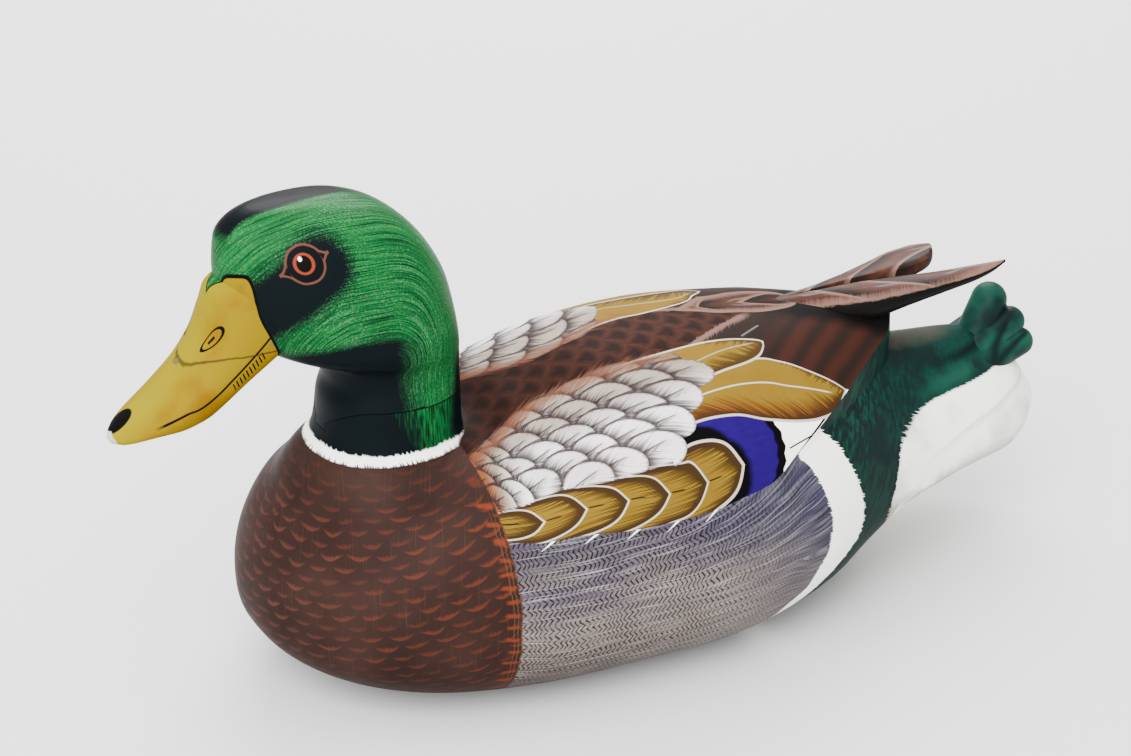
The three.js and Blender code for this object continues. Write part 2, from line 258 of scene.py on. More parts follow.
def neck_and_head(rows, around):
    table = np.array(NECK_AND_HEAD, float)
    step = np.diff(table, axis=0)
    length = np.concatenate([[0], np.cumsum(np.hypot(step[:, 0], np.abs(step[:, 1:]).max(1)))])
    height, front, back, half = (smooth(np.stack([length, table[:, k]], 1)) for k in range(4))
    s = length[-1] * np.linspace(0, 1, rows)[:, None]
    cheek = np.clip((height(s) - NECK_TOP_Z) / (CHEEK_Z - NECK_TOP_Z), 0, 1)
    middle = (front(s) + back(s)) / 2
    a = ring_angles(around)
    along = signed_power(np.cos(a), 2 / HEAD_ROUNDNESS)
    across = signed_power(np.sin(a), 2 / HEAD_ROUNDNESS)
    x = half(s) * across * (1 + CHEEK_TAPER * cheek * np.cos(a))
    y = middle + (back(s) - middle) * along
    return np.stack([-x, y, height(s) + 0 * x], -1)


def bill(rows, around):
    half, top, edge, bottom = map(smooth, [BILL_HALF_WIDTH, BILL_TOP, BILL_EDGE, BILL_BOTTOM])
    slope = math.radians(BILL_SLOPE)
    start = BILL_TOP[0][0]
    q = start + (BILL_TOP[-1][0] - start) * quarter_sine(rows)[:, None]
    a = ring_angles(around)
    crest = (top(q) - edge(q)) * np.maximum(0, np.sin(a)) ** BILL_CREST
    belly = (edge(q) - bottom(q)) * np.maximum(0, -np.sin(a)) ** BILL_BELLY
    rise = edge(q) + crest - belly
    x = half(q) * signed_power(np.cos(a), BILL_FLANK)
    y = BILL_ROOT[0] - math.cos(slope) * q - math.sin(slope) * rise
    z = BILL_ROOT[1] - math.sin(slope) * q + math.cos(slope) * rise
    return np.stack([x, y, z], -1)


# Meshes and booleans.


def skin(name, rings, form):
    """A closed mesh object over a stack of rings."""
    rows, around = rings.shape[:2]
    points = np.concatenate([rings.reshape(-1, 3), [rings[0].mean(0), rings[-1].mean(0)]])
    j = np.arange(around)
    k = (j + 1) % around
    faces = []
    for i in range(rows - 1):
        low = i * around
        high = low + around
        faces += np.stack([low + j, low + k, high + k, high + j], 1).tolist()
    first = rows * around
    top = (rows - 1) * around
    faces += np.stack([first + 0 * j, k, j], 1).tolist()
    faces += np.stack([first + 1 + 0 * j, top + j, top + k], 1).tolist()
    return solid(name, points, faces, form)


def solid(name, points, faces, form):
    """A mesh object whose faces are all numbered as one of the forms of its piece."""
    forms = BODY_FORMS if form in BODY_FORMS else HEAD_FORMS
    mesh = bpy.data.meshes.new(name)
    mesh.from_pydata((points * MM).tolist(), [], faces)
    for other in forms:
        mesh.materials.append(bpy.data.materials[other])
    mesh.polygons.foreach_set("material_index", np.full(len(faces), forms.index(form), np.int32))
    made = bpy.data.objects.new(name, mesh)
    bpy.context.scene.collection.objects.link(made)
    return made


def above_seam(lift, form):
    """A block whose underside is the glue seam: level under the neck, and curving down at the front."""
    far = 2 * TAIL_Y
    a = np.linspace(math.pi / 2, 0, SEAM_STEPS)
    y = SEAM_BEND_Y - SEAM_BEND_LENGTH * np.sin(a) - lift / 2
    z = SEAM_Z - SEAM_DROP * (1 - np.cos(a)) + lift
    outline = [(far, SEAM_Z + lift), (far, far), (-far, far), (-far, SEAM_Z - SEAM_DROP + lift), *zip(y, z)]
    left = np.array([[far, y, z] for y, z in outline])
    right = left * [-1, 1, 1]
    count = len(outline)
    faces = [list(range(count)), list(range(2 * count - 1, count - 1, -1))]
    faces += [[i, count + i, count + (i + 1) % count, (i + 1) % count] for i in range(count)]
    return solid("seam", np.concatenate([left, right]), faces, form)


def carve(piece, operation, other):
    """Changes piece by another solid, which is used up."""
    cut = piece.modifiers.new("carve", "BOOLEAN")
    cut.operation = operation
    cut.solver = "MANIFOLD"
    cut.object = other
    apply_modifiers(piece)
    bpy.data.objects.remove(other)


def apply_modifiers(piece):
    shown = piece.evaluated_get(bpy.context.evaluated_depsgraph_get())
    made = bpy.data.meshes.new_from_object(shown)
    piece.modifiers.clear()
    old = piece.data
    piece.data = made
    bpy.data.meshes.remove(old)


# The two carved pieces. Each face keeps the number of the form that it came from.

BODY_FORMS = ["wings", "rump", "stump", "blades", "curls"]
HEAD_FORMS = ["skull", "bill"]

WING_ROWS = 150  # sections of the hull ahead of the carved wing edge
RUMP_ROWS = 110  # and behind it
HULL_AROUND = 260  # points round each of them
STUMP_MESH = (130, 150)  # sections and points round each, as are the next three
CURL_MESH = (34, 48)
SKULL_MESH = (180, 200)
BILL_MESH = (90, 120)
BLADE_ROWS = 60

for form in BODY_FORMS + HEAD_FORMS:
    bpy.data.materials.new(form)

body = skin("carved_body", hull(WING_ROWS, RUMP_ROWS, HULL_AROUND), "wings")
hull_form = np.zeros(len(body.data.polygons), np.int32)
hull_form[(WING_ROWS - 1) * HULL_AROUND:] = BODY_FORMS.index("rump")
body.data.polygons.foreach_set("material_index", hull_form)
stump = skin("stump", neck_and_head(*STUMP_MESH), "stump")
carve(stump, "DIFFERENCE", above_seam(0, "stump"))
carve(body, "UNION", stump)
carve(body, "UNION", skin("blade", blade(LEFT_BLADE, 1, BLADE_ROWS), "blades"))
carve(body, "UNION", skin("blade", blade(RIGHT_BLADE, -1, BLADE_ROWS), "blades"))
for feather in CURLS:
    sides = [1, -1] if max(feather["out"]) > 0 else [1]
    for side in sides:
        carve(body, "UNION", skin("curl", curl(feather, side, *CURL_MESH), "curls"))

head = skin("carved_head", neck_and_head(*SKULL_MESH), "skull")
carve(head, "INTERSECT", above_seam(SEAM_GAP, "skull"))
carve(head, "UNION", skin("bill", bill(*BILL_MESH), "bill"))


# Fields on the surface that the paint follows, in millimetres.


def points_of(piece):
    co = np.zeros(len(piece.data.vertices) * 3, np.float32)
    piece.data.vertices.foreach_get("co", co)
    return co.reshape(-1, 3).astype(float) / MM


def keep_field(piece, name, values):
    piece.data.attributes.new(name, "FLOAT", "POINT").data.foreach_set("value", values.astype(np.float32))


def sample(table, row, column):
    """The table between its entries, at fractional rows and columns."""
    row = np.clip(row, 0, table.shape[0] - 1.001)
    column = np.clip(column, 0, table.shape[1] - 1.001)
    i, j = row.astype(int), column.astype(int)
    u, v = row - i, column - j
    near = table[i, j] * (1 - v) + table[i, j + 1] * v
    return near * (1 - u) + (table[i + 1, j] * (1 - v) + table[i + 1, j + 1] * v) * u


def along_rows(points):
    """Running length of each row of points."""
    step = np.linalg.norm(np.diff(points, axis=1), axis=2)
    return np.concatenate([np.zeros((len(points), 1)), np.cumsum(step, axis=1)], 1)


SPINE_STATIONS = 400
HALF_DEGREES = 360  # in a half turn


def spine_distance(points, top_z):
    """How far each point lies from the spine, measured round the hull's section at its y."""
    stations = np.linspace(BREAST_Y, TAIL_Y, SPINE_STATIONS)
    fall = np.linspace(math.pi / 2, -math.pi / 2, HALF_DEGREES + 1)
    ring = hull_point(stations[:, None], fall, top_z)
    length = along_rows(ring)
    middle = ring[:, HALF_DEGREES // 2, 2]
    lean = np.arctan2(ring[:, :, 2] - middle[:, None], ring[:, :, 0])
    table = np.array([np.interp(-fall, a[::-1], b[::-1]) for a, b in zip(lean, length)])
    row = (points[:, 1] - BREAST_Y) / (TAIL_Y - BREAST_Y) * (SPINE_STATIONS - 1)
    own = np.arctan2(points[:, 2] - np.interp(points[:, 1], stations, middle), np.abs(points[:, 0]))
    return sample(table, row, (own + math.pi / 2) / math.pi * HALF_DEGREES)


def within_hull(points):
    """Whether each point is inside the hull with the top of the wings."""
    x, y, z = np.moveaxis(points, -1, 0)
    forward = np.clip((BREAST_ROUND_Y - y) / (BREAST_ROUND_Y - BREAST_Y), 0, 1)
    breast = np.sqrt(1 - forward**BREAST_ROUNDNESS) + 1e-6
    waist = BREAST_Z + (waist_z(y) - BREAST_Z) * breast
    top = BREAST_Z + (back_z(y) - BREAST_Z) * breast
    keel = BREAST_Z - (BREAST_Z - keel_z(y)) * breast**KEEL_LIFT
    up = z > waist
    reach = np.where(up, top - waist, waist - keel)
    roundness = np.where(up, upper_roundness(y), lower_roundness(y))
    share = (np.abs(x) / (hull_half(y) * breast)) ** roundness + (np.abs(z - waist) / reach) ** roundness
    return (share < 1) & (y > BREAST_Y)


BREAST_CENTRE = np.array([0, -89, 50])
BREAST_VIEW = 62  # degrees from the front, where the breast feathers of each row are counted from
BREAST_REACH = 260  # from the centre to past every part of the hull that is painted as breast
HALVINGS = 26


def breast_fields(points):
    """How far each point lies down the breast from the neck, and round it along a level row."""
    heading = np.linspace(0, math.pi, 181)[:, None]
    climb = np.linspace(math.pi / 2, -math.pi / 2, 181)
    out = np.cos(climb)
    ray = np.stack([np.sin(heading) * out, -np.cos(heading) * out, np.sin(climb) + 0 * heading], -1)
    near = np.zeros(ray.shape[:2])
    far = np.full(ray.shape[:2], float(BREAST_REACH))
    for _ in range(HALVINGS):
        middle = (near + far) / 2
        inside = within_hull(BREAST_CENTRE + ray * middle[..., None])
        near = np.where(inside, middle, near)
        far = np.where(inside, far, middle)
    skin_points = BREAST_CENTRE + ray * near[..., None]
    down = along_rows(skin_points)
    round_it = along_rows(skin_points.transpose(1, 0, 2)).T
    round_it = round_it - round_it[BREAST_VIEW]
    own = points - BREAST_CENTRE
    turn = np.degrees(np.arctan2(np.abs(own[:, 0]), -own[:, 1]))
    fall = 90 - np.degrees(np.arctan2(own[:, 2], np.hypot(own[:, 0], own[:, 1])))
    return sample(down, turn, fall), sample(round_it, turn, fall)


def vertices_of(piece, faces):
    """True for each vertex that one of the chosen faces uses."""
    mesh = piece.data
    corner = np.zeros(len(mesh.loops), np.int32)
    mesh.loops.foreach_get("vertex_index", corner)
    total = np.zeros(len(mesh.polygons), np.int32)
    mesh.polygons.foreach_get("loop_total", total)
    used = np.zeros(len(mesh.vertices), bool)
    used[corner[np.repeat(faces, total)]] = True
    return used


CREASE_END_Y = -84  # the neck's crease is rounded ahead of this
CREASE_REACH = 11
CREASE_PASSES = 60
CREASE_PASS = 0.6  # how far a pass moves a point towards the middle of its neighbours


def soften(piece, crease, rear, reach, passes):
    """Rounds the crease where two forms meet, ahead of rear, over a strip of that reach on both sides."""
    mesh = piece.data
    place = points_of(piece)
    crease = place[crease & (place[:, 1] < rear)]
    off = np.min(np.linalg.norm(place[:, None] - crease[None, ::3], axis=2), axis=1)
    share = np.clip(1 - off / reach, 0, 1)[:, None]
    edge = np.zeros(len(mesh.edges) * 2, np.int32)
    mesh.edges.foreach_get("vertices", edge)
    a, b = edge.reshape(-1, 2).T
    count = np.bincount(edge, minlength=len(place))[:, None]
    for _ in range(passes):
        total = np.zeros_like(place)
        np.add.at(total, a, place[b])
        np.add.at(total, b, place[a])
        place += (total / count - place) * share * CREASE_PASS
    mesh.vertices.foreach_set("co", (place * MM).astype(np.float32).ravel())


form_number = np.zeros(len(body.data.polygons), np.int32)
body.data.polygons.foreach_get("material_index", form_number)
on_stump = vertices_of(body, form_number == BODY_FORMS.index("stump"))
winged = form_number == BODY_FORMS.index("wings")
on_wings = vertices_of(body, winged)
soften(body, on_stump & on_wings, CREASE_END_Y, CREASE_REACH, CREASE_PASSES)

points = points_of(body)
arc = np.where(on_wings, spine_distance(points, back_z), spine_distance(points, rump_z))
keep_field(body, "arc", arc)
down, level = breast_fields(points)
keep_field(body, "down", down)
keep_field(body, "level", level)
body.data.attributes.new("winged", "FLOAT", "FACE").data.foreach_set("value", winged.astype(np.float32))


# Finishes. A Signal is a number or a colour that varies over a surface, with ordinary arithmetic.


PAINT_DEPTH = 0.22  # dark paint gives back this share of what its screen colour does
PAINT_PALE = 0.8  # and paint as pale as this gives back all of it
PAINT_LIFT = 5  # the higher, the paler the paint whose share begins to rise
SHEEN = 0.04
FAR = 99  # millimetres: past every edge on the decoy


def srgb(red, green, blue):
    """A colour as it is mixed in light, from its screen values of 0 to 255."""
    share = [v / 255 for v in (red, green, blue)]
    return tuple(v / 12.92 if v <= 0.04045 else ((v + 0.055) / 1.055) ** 2.4 for v in share)


def pigment(red, green, blue):
    """The paint that looks like that screen colour in this bright light: much darker, unless it is pale."""
    mixed = srgb(red, green, blue)
    pale = min(1, min(mixed) / PAINT_PALE) ** PAINT_LIFT
    share = PAINT_DEPTH + (1 - PAINT_DEPTH) * pale
    return tuple(min(0.95, max(0.0008, v * share)) for v in mixed)


class Signal:
    """An output of one of a finish's nodes."""

    def __init__(self, finish, socket):
        self.finish = finish
        self.socket = socket

    def __add__(self, other):
        return self.finish.math("ADD", self, other)

    def __radd__(self, other):
        return self.finish.math("ADD", other, self)

    def __sub__(self, other):
        return self.finish.math("SUBTRACT", self, other)

    def __rsub__(self, other):
        return self.finish.math("SUBTRACT", other, self)

    def __mul__(self, other):
        return self.finish.math("MULTIPLY", self, other)

    def __rmul__(self, other):
        return self.finish.math("MULTIPLY", other, self)

    def __truediv__(self, other):
        return self.finish.math("DIVIDE", self, other)

    def __rtruediv__(self, other):
        return self.finish.math("DIVIDE", other, self)

    def __pow__(self, other):
        return self.finish.math("POWER", self, other)

    def __neg__(self):
        return self.finish.math("MULTIPLY", self, -1)

    def __abs__(self):
        return self.finish.math("ABSOLUTE", self)

    def __lt__(self, other):
        return self.finish.math("LESS_THAN", self, other)

    def __gt__(self, other):
        return self.finish.math("GREATER_THAN", self, other)


class Finish:
    """The nodes of one painted finish."""

    def __init__(self, name):
        self.material = bpy.data.materials.new(name)
        self.material.use_nodes = True
        self.tree = self.material.node_tree
        self.tree.nodes.clear()
        place = self.node("ShaderNodeTexCoord", {}, {})
        inputs = {0: place["Object"], "Scale": 1 / MM}
        self.place = self.node("ShaderNodeVectorMath", {"operation": "SCALE"}, inputs)["Vector"]
        split = self.node("ShaderNodeSeparateXYZ", {}, {0: self.place})
        self.across = split["X"]
        self.x = abs(split["X"])
        self.y = split["Y"]
        self.z = split["Z"]

    def node(self, kind, settings, inputs):
        """Adds a node with its settings and inputs, and returns its outputs by name as Signals."""
        made = self.tree.nodes.new(kind)
        for key, value in settings.items():
            setattr(made, key, value)
        for key, value in inputs.items():
            self.feed(made.inputs[key], value)
        return {s.name: Signal(self, s) for s in made.outputs if s.enabled} | {"node": made}

    def feed(self, socket, value):
        if isinstance(value, Signal):
            self.tree.links.new(value.socket, socket)
        elif socket.type == "RGBA":
            socket.default_value = (*value, 1)
        else:
            socket.default_value = value

    def math(self, operation, *values):
        return self.node("ShaderNodeMath", {"operation": operation}, dict(enumerate(values)))["Value"]

    def lowest(self, *values):
        result = values[0]
        for value in values[1:]:
            result = self.math("MINIMUM", result, value)
        return result

    def highest(self, *values):
        result = values[0]
        for value in values[1:]:
            result = self.math("MAXIMUM", result, value)
        return result

    def ramp(self, value, low, high):
        """0 up to low, 1 from high on, and straight between."""
        inputs = {"Value": value, "From Min": low, "From Max": high}
        return self.node("ShaderNodeMapRange", {}, inputs)["Result"]

    def line(self, distance, outer, inner):
        """A brush line: 1 up to inner from its middle, and 0 from outer on."""
        return self.ramp(abs(distance), outer, inner)

    def field(self, name):
        return self.node("ShaderNodeAttribute", {"attribute_name": name}, {})["Fac"]

    def at(self, x, y, z=0):
        return self.node("ShaderNodeCombineXYZ", {}, {0: x, 1: y, 2: z})["Vector"]

    def noise(self, place, pitch, detail=2):
        """Cloudy noise from 0 to 1, with patches about pitch millimetres wide."""
        inputs = {"Vector": place, "Scale": 1 / pitch, "Detail": detail}
        return self.node("ShaderNodeTexNoise", {}, inputs)["Fac"]

    def dice(self, x, y, z=0):
        """A number from 0 to 1 that is unrelated from one place to the next."""
        inputs = {"Vector": self.at(x, y, z)}
        return self.node("ShaderNodeTexWhiteNoise", {"noise_dimensions": "3D"}, inputs)["Value"]

    def choose(self, share, a, b):
        """a where share is 0 and b where it is 1, for numbers."""
        return self.node("ShaderNodeMix", {"data_type": "FLOAT"}, {0: share, 2: a, 3: b})["Result"]

    def mix(self, share, a, b):
        """a where share is 0 and b where it is 1, for colours."""
        return self.node("ShaderNodeMix", {"data_type": "RGBA"}, {0: share, 6: a, 7: b})["Result"]

    def curve(self, value, points):
        """A smooth line through points of (value, result), level past both ends."""
        ins, outs = zip(*points)
        in_low, in_high, out_low, out_high = min(ins), max(ins), min(outs), max(outs)
        share = self.ramp(value, in_low, in_high)
        made = self.node("ShaderNodeFloatCurve", {}, {"Value": share})
        mapping = made["node"].mapping
        line = mapping.curves[0]
        while len(line.points) < len(points):
            line.points.new(0.5, 0.5)
        for point, (a, b) in zip(line.points, sorted(points)):
            point.location = ((a - in_low) / (in_high - in_low), (b - out_low) / (out_high - out_low))
        mapping.update()
        return made["Value"] * (out_high - out_low) + out_low

    def stroke(self, a, b, start, end):
        """Distance from a straight brush stroke between two places."""
        run = (end[0] - start[0], end[1] - start[1])
        length = math.hypot(*run)
        run = (run[0] / length, run[1] / length)
        along = (a - start[0]) * run[0] + (b - start[1]) * run[1]
        aside = (a - start[0]) * run[1] - (b - start[1]) * run[0]
        past = self.highest(abs(along - length / 2) - length / 2, 0)
        return (aside**2 + past**2) ** 0.5

    def strands(self, along, pitch, key=0):
        """Hairs side by side: a number of its own for each hair, and how near its middle a place is."""
        count = along / pitch
        own = self.math("FLOOR", count)
        near = 1 - abs((count - own) * 2 - 1)
        return self.dice(own, key), near

    def fringe(self, distance, along, pitch, reach, key=0):
        """The distance to an edge that is drawn with hairs."""
        own, near = self.strands(along, pitch, key)
        return distance + own * near * reach

    def scales(self, u, v, length, width, retreat, power):
        """Overlapping feathers in two staggered sets, with their tips towards +u.
        Returns, for the feather on top: how far inside its tip edge a place is, how far off its quill,
        how far past the nearest edge that overlaps it, and where its tip and quill are."""
        sets = []
        for shift in (0, 0.5):
            count = v / width + shift
            cell = self.math("ROUND", count)
            off = (count - cell) * width
            back = (abs(off) * (2 / width)) ** power * retreat
            row = (u + back) / length + shift
            number = self.math("CEIL", row)
            inside = (number - row) * length
            sets.append([inside, off, (number - shift) * length, (cell - shift) * width])
        choice = sets[1][2] < sets[0][2]
        inside, off, tip, quill = (self.choose(choice, a, b) for a, b in zip(*sets))
        past = length - self.highest(sets[0][0], sets[1][0])
        return {"inside": inside, "off": off, "past": past, "tip": tip, "quill": quill}

    def ovals(self, u, v, spacing, row_height, half, lean, exists):
        """Rows of overlapping oval feathers with their tips towards +u and half sizes in half.
        The front ones cover those behind, and each row covers the one before it. Returns, for the one on
        top: how far inside its rim a place is, how far past the rims that cover it, how far off its quill,
        how deep behind its tip, where its tip is, its row, and whether there is one at all."""
        row = self.math("FLOOR", v / row_height)
        cover = None
        for further_row in (1, 0):
            line = row + further_row
            off = v - line * row_height
            shift = self.math("PINGPONG", line, 1) * 0.5
            leaned = u - off * lean
            first = (self.math("CEIL", leaned / spacing + shift) - shift) * spacing
            across = (off / half[1]) ** 2
            for further in (-1, 0, 1):
                tip = first + further * spacing
                deep = tip - leaned
                rim = (1 - ((deep / half[0] - 1) ** 2 + across) ** 0.5) * half[1]
                rim = rim - (1 - exists(tip, line)) * FAR
                own = [rim, off, deep, tip, line]
                if cover is None:
                    cover, past, top = rim, FAR, own
                    continue
                hidden = cover > 0
                past = self.choose(hidden, -cover, past)
                top = [self.choose(hidden, b, a) for a, b in zip(top, own)]
                cover = self.highest(cover, rim)
        inside, off, deep, tip, line = top
        return {
            "inside": inside, "past": past, "off": off, "deep": deep,
            "tip": tip, "row": line, "there": cover > 0,
        }

    def coat(self, colour, roughness, height, depth, sheen=SHEEN):
        """A shader of that colour. height is a relief from 0 to 1 and depth its size."""
        inputs = {"Base Color": colour, "Roughness": roughness, "Specular IOR Level": sheen}
        relief = {"Height": height, "Distance": depth * MM, "Strength": 1}
        inputs["Normal"] = self.node("ShaderNodeBump", {}, relief)["Normal"]
        return self.node("ShaderNodeBsdfPrincipled", {}, inputs)["BSDF"]

    def shared(self, share, a, b):
        """Shader a where share is 0 and b where it is 1."""
        return self.node("ShaderNodeMixShader", {}, {0: share, 1: a, 2: b})["Shader"]

    def done(self, shader):
        self.node("ShaderNodeOutputMaterial", {}, {"Surface": shader})
        return self.material


# Colours of the body, and of the green head and neck.

WHITE = pigment(248, 247, 240)
RIM = pigment(236, 222, 208)
BREAST_DARK = pigment(93, 68, 61)
BREAST_SHADE = pigment(75, 54, 49)
CRESCENT = pigment(150, 80, 60)
CRESCENT_PINK = pigment(148, 92, 82)
ORANGE = pigment(190, 86, 50)
TAN = pigment(158, 112, 82)
BACK_DARK = pigment(42, 26, 22)
BACK_BROWN = pigment(84, 50, 38)
BACK_RUST = pigment(118, 64, 46)
FEATHER_WHITE = pigment(234, 228, 227)
FEATHER_GREY = pigment(219, 211, 210)
FEATHER_BEIGE = pigment(226, 209, 192)
FEATHER_TAN = pigment(202, 164, 138)
FEATHER_YELLOW = pigment(204, 186, 136)
FEATHER_ORANGE = pigment(186, 112, 80)
FRONT_ORANGE = pigment(212, 124, 68)
HAIR_BROWN = pigment(72, 54, 56)
HAIR_HAZE = pigment(132, 116, 120)
GOLD = pigment(196, 148, 40)
GOLD_LIGHT = pigment(210, 172, 66)
GOLD_BROWN = pigment(80, 56, 42)
GOLD_TAN = pigment(150, 108, 66)
GOLD_ORANGE = pigment(186, 116, 50)
BLUE = pigment(52, 0, 140)
BLUE_LIGHT = pigment(72, 30, 164)
BLACK = pigment(24, 22, 24)
TERTIAL = pigment(94, 56, 46)
TERTIAL_DARK = pigment(66, 50, 45)
BLADE_PINK = pigment(204, 158, 140)
BLADE_RUST = pigment(138, 82, 60)
BLADE_BROWN = pigment(98, 62, 52)
BLADE_DARK = pigment(46, 36, 34)
BLADE_SIDE = pigment(32, 30, 29)
BLADE_GREY = pigment(158, 156, 158)
FLANK_BEIGE = pigment(194, 178, 169)
FLANK_GREY = pigment(122, 114, 126)
FLANK_PURPLE = pigment(124, 110, 138)
FLANK_BLUE = pigment(94, 94, 132)
FLANK_BROWN = pigment(122, 98, 88)
FLANK_TICK = pigment(36, 32, 38)
FLANK_LIGHT = pigment(218, 212, 214)
RUMP_DARK = pigment(34, 58, 56)
RUMP_GREEN = pigment(28, 92, 78)
RUMP_LIGHT = pigment(52, 132, 108)
RUMP_WORN = pigment(112, 108, 92)
TAIL_WHITE = pigment(238, 238, 234)
TAIL_GREY = pigment(206, 204, 202)
TAIL_YELLOW = pigment(236, 222, 176)
NECK_DARK = pigment(26, 36, 40)
HEAD_DEEP = pigment(20, 86, 50)
HEAD_GREEN = pigment(42, 174, 84)
HEAD_LIGHT = pigment(130, 210, 150)


# Where the painted regions of the body meet, as (y, distance from the spine) unless said otherwise.

BREAST_END_Y = -70
FEATHERS_END = [
    (-75, 73), (-62.7, 79), (-50.8, 83.2), (-35, 89.4), (-19, 95.5), (-6, 98.7), (7, 100), (16, 100),
    (28, 98.5), (39, 96.4), (49, 91.8), (60, 86),
]
BAND_FRONT = [  # (z, y)
    (10, 46), (21.9, 53), (28.5, 62), (36.7, 67.2), (44.6, 71.9), (57, 73.3), (70.2, 69.7),
    (78.2, 66.1), (86, 59.5),
]
BAND_REAR = [  # (z, y)
    (14, 56), (24, 69), (32.1, 79.8), (36.9, 86.2), (44.3, 92.8), (51, 94), (59.3, 92.8), (68.6, 89.7),
    (78.2, 85.4), (85.8, 80.2), (92, 74),
]
TAIL_EDGE = [  # (y, z)
    (112, 43), (115.2, 52.3), (119.3, 61.4), (125.4, 68.7), (138.8, 72.8), (149.5, 73.7), (176.2, 74.4),
    (195, 76), (226, 77),
]
SCAPULAR_TOP = [
    (-75, 37), (-69.7, 34.1), (-56.6, 28), (-45, 24.4), (-32.4, 22.2), (-15.9, 23.8), (3.1, 25.6),
    (24.9, 28.2), (36, 32),
]
RIGHT_SHIFT = [  # (y, how much nearer to the spine the right wing's feathers reach)
    (-75, 4), (-48, 10.5), (-38, 14), (-29, 19), (-18.6, 23), (-7, 25), (5, 22), (16, 21), (30, 22.5),
    (46, 21.5), (60, 15), (90, 6), (140, 0),
]
RIGHT_AHEAD = 12  # how much further ahead the right wing's pale feathers lie


CRESCENT_ROW = 9.4  # down the breast from one row of crescents to the next
CRESCENT_STEP = 11.6  # along a row from one crescent to the next
CRESCENT_RETREAT = 3.2  # how far the ends of a crescent lie behind its tip
CRESCENT_HALF = 4.1
CRESCENT_THICKNESS = 2.1


def breast_colour(paint):
    """Dark brown with rows of rust crescents."""
    down = paint.field("down")
    level = paint.field("level")
    wobble = paint.noise(paint.place, 18)
    u = down + wobble * 4 + 1
    v = level + paint.noise(paint.place, 25) * 7
    rows = paint.scales(u, v, CRESCENT_ROW, CRESCENT_STEP, CRESCENT_RETREAT, 2)
    own = paint.dice(rows["tip"], rows["quill"])
    streak = paint.noise(paint.at(level * 1.5, down * 0.2), 1)
    half = own * 1.4 + CRESCENT_HALF
    thick = (1 - (rows["off"] / half) ** 2) * CRESCENT_THICKNESS
    upper = rows["inside"] - thick * (streak * 1.3 + 0.25)
    tips = paint.ramp(upper, 0.5, -0.5) * paint.ramp(rows["inside"], 0.05, 0.5)
    # the crescents fade towards the bottom of the breast as painted shade, and towards the neck ring
    strength = paint.ramp(paint.z, 4, 34) * paint.ramp(paint.z, 102, 84)
    cloud = paint.noise(paint.place, 34)
    ground = paint.mix(paint.ramp(cloud, 0.35, 0.65), BREAST_SHADE, BREAST_DARK)
    ground = paint.mix(paint.ramp(streak, 0.5, 0.75) * 0.25, ground, BACK_BROWN)
    rust = paint.mix(paint.ramp(paint.y, -125, -146) * 0.8, CRESCENT, CRESCENT_PINK)
    rust = paint.mix(paint.ramp(paint.y, -118, -74) * 0.45, rust, ORANGE)
    scratch = paint.noise(paint.at(level * 2.2, down * 0.04, 6), 1, detail=1)
    colour = paint.mix(tips * (strength * (own * 0.4 + 0.22) + 0.08), ground, rust)
    return paint.mix(paint.ramp(scratch, 0.64, 0.76) * 0.3, colour, TAN)


# The streaks of the flank follow its waist: the height FLANK_WAIST_Z, or FLANK_WAIST in pairs of
# (y, distance from the spine). Above it they sweep up where FLANK_RISE, in pairs of (y, rise), grows.
FLANK_RISE = [(-60, 0), (-17, 2), (11, 6), (29, 11), (46, 17), (57, 22), (75, 34), (95, 50)]
FLANK_WAIST = [(-75, 108), (-65, 112.5), (-28, 125), (4, 132), (28, 132.5), (54, 129), (69, 124), (95, 112)]
FLANK_WAIST_Z = 46
ZIGZAG_HEIGHT = 1.9
ZIGZAG_SLANT = 0.85
ZIGZAG_HALF_STEP = 1.05


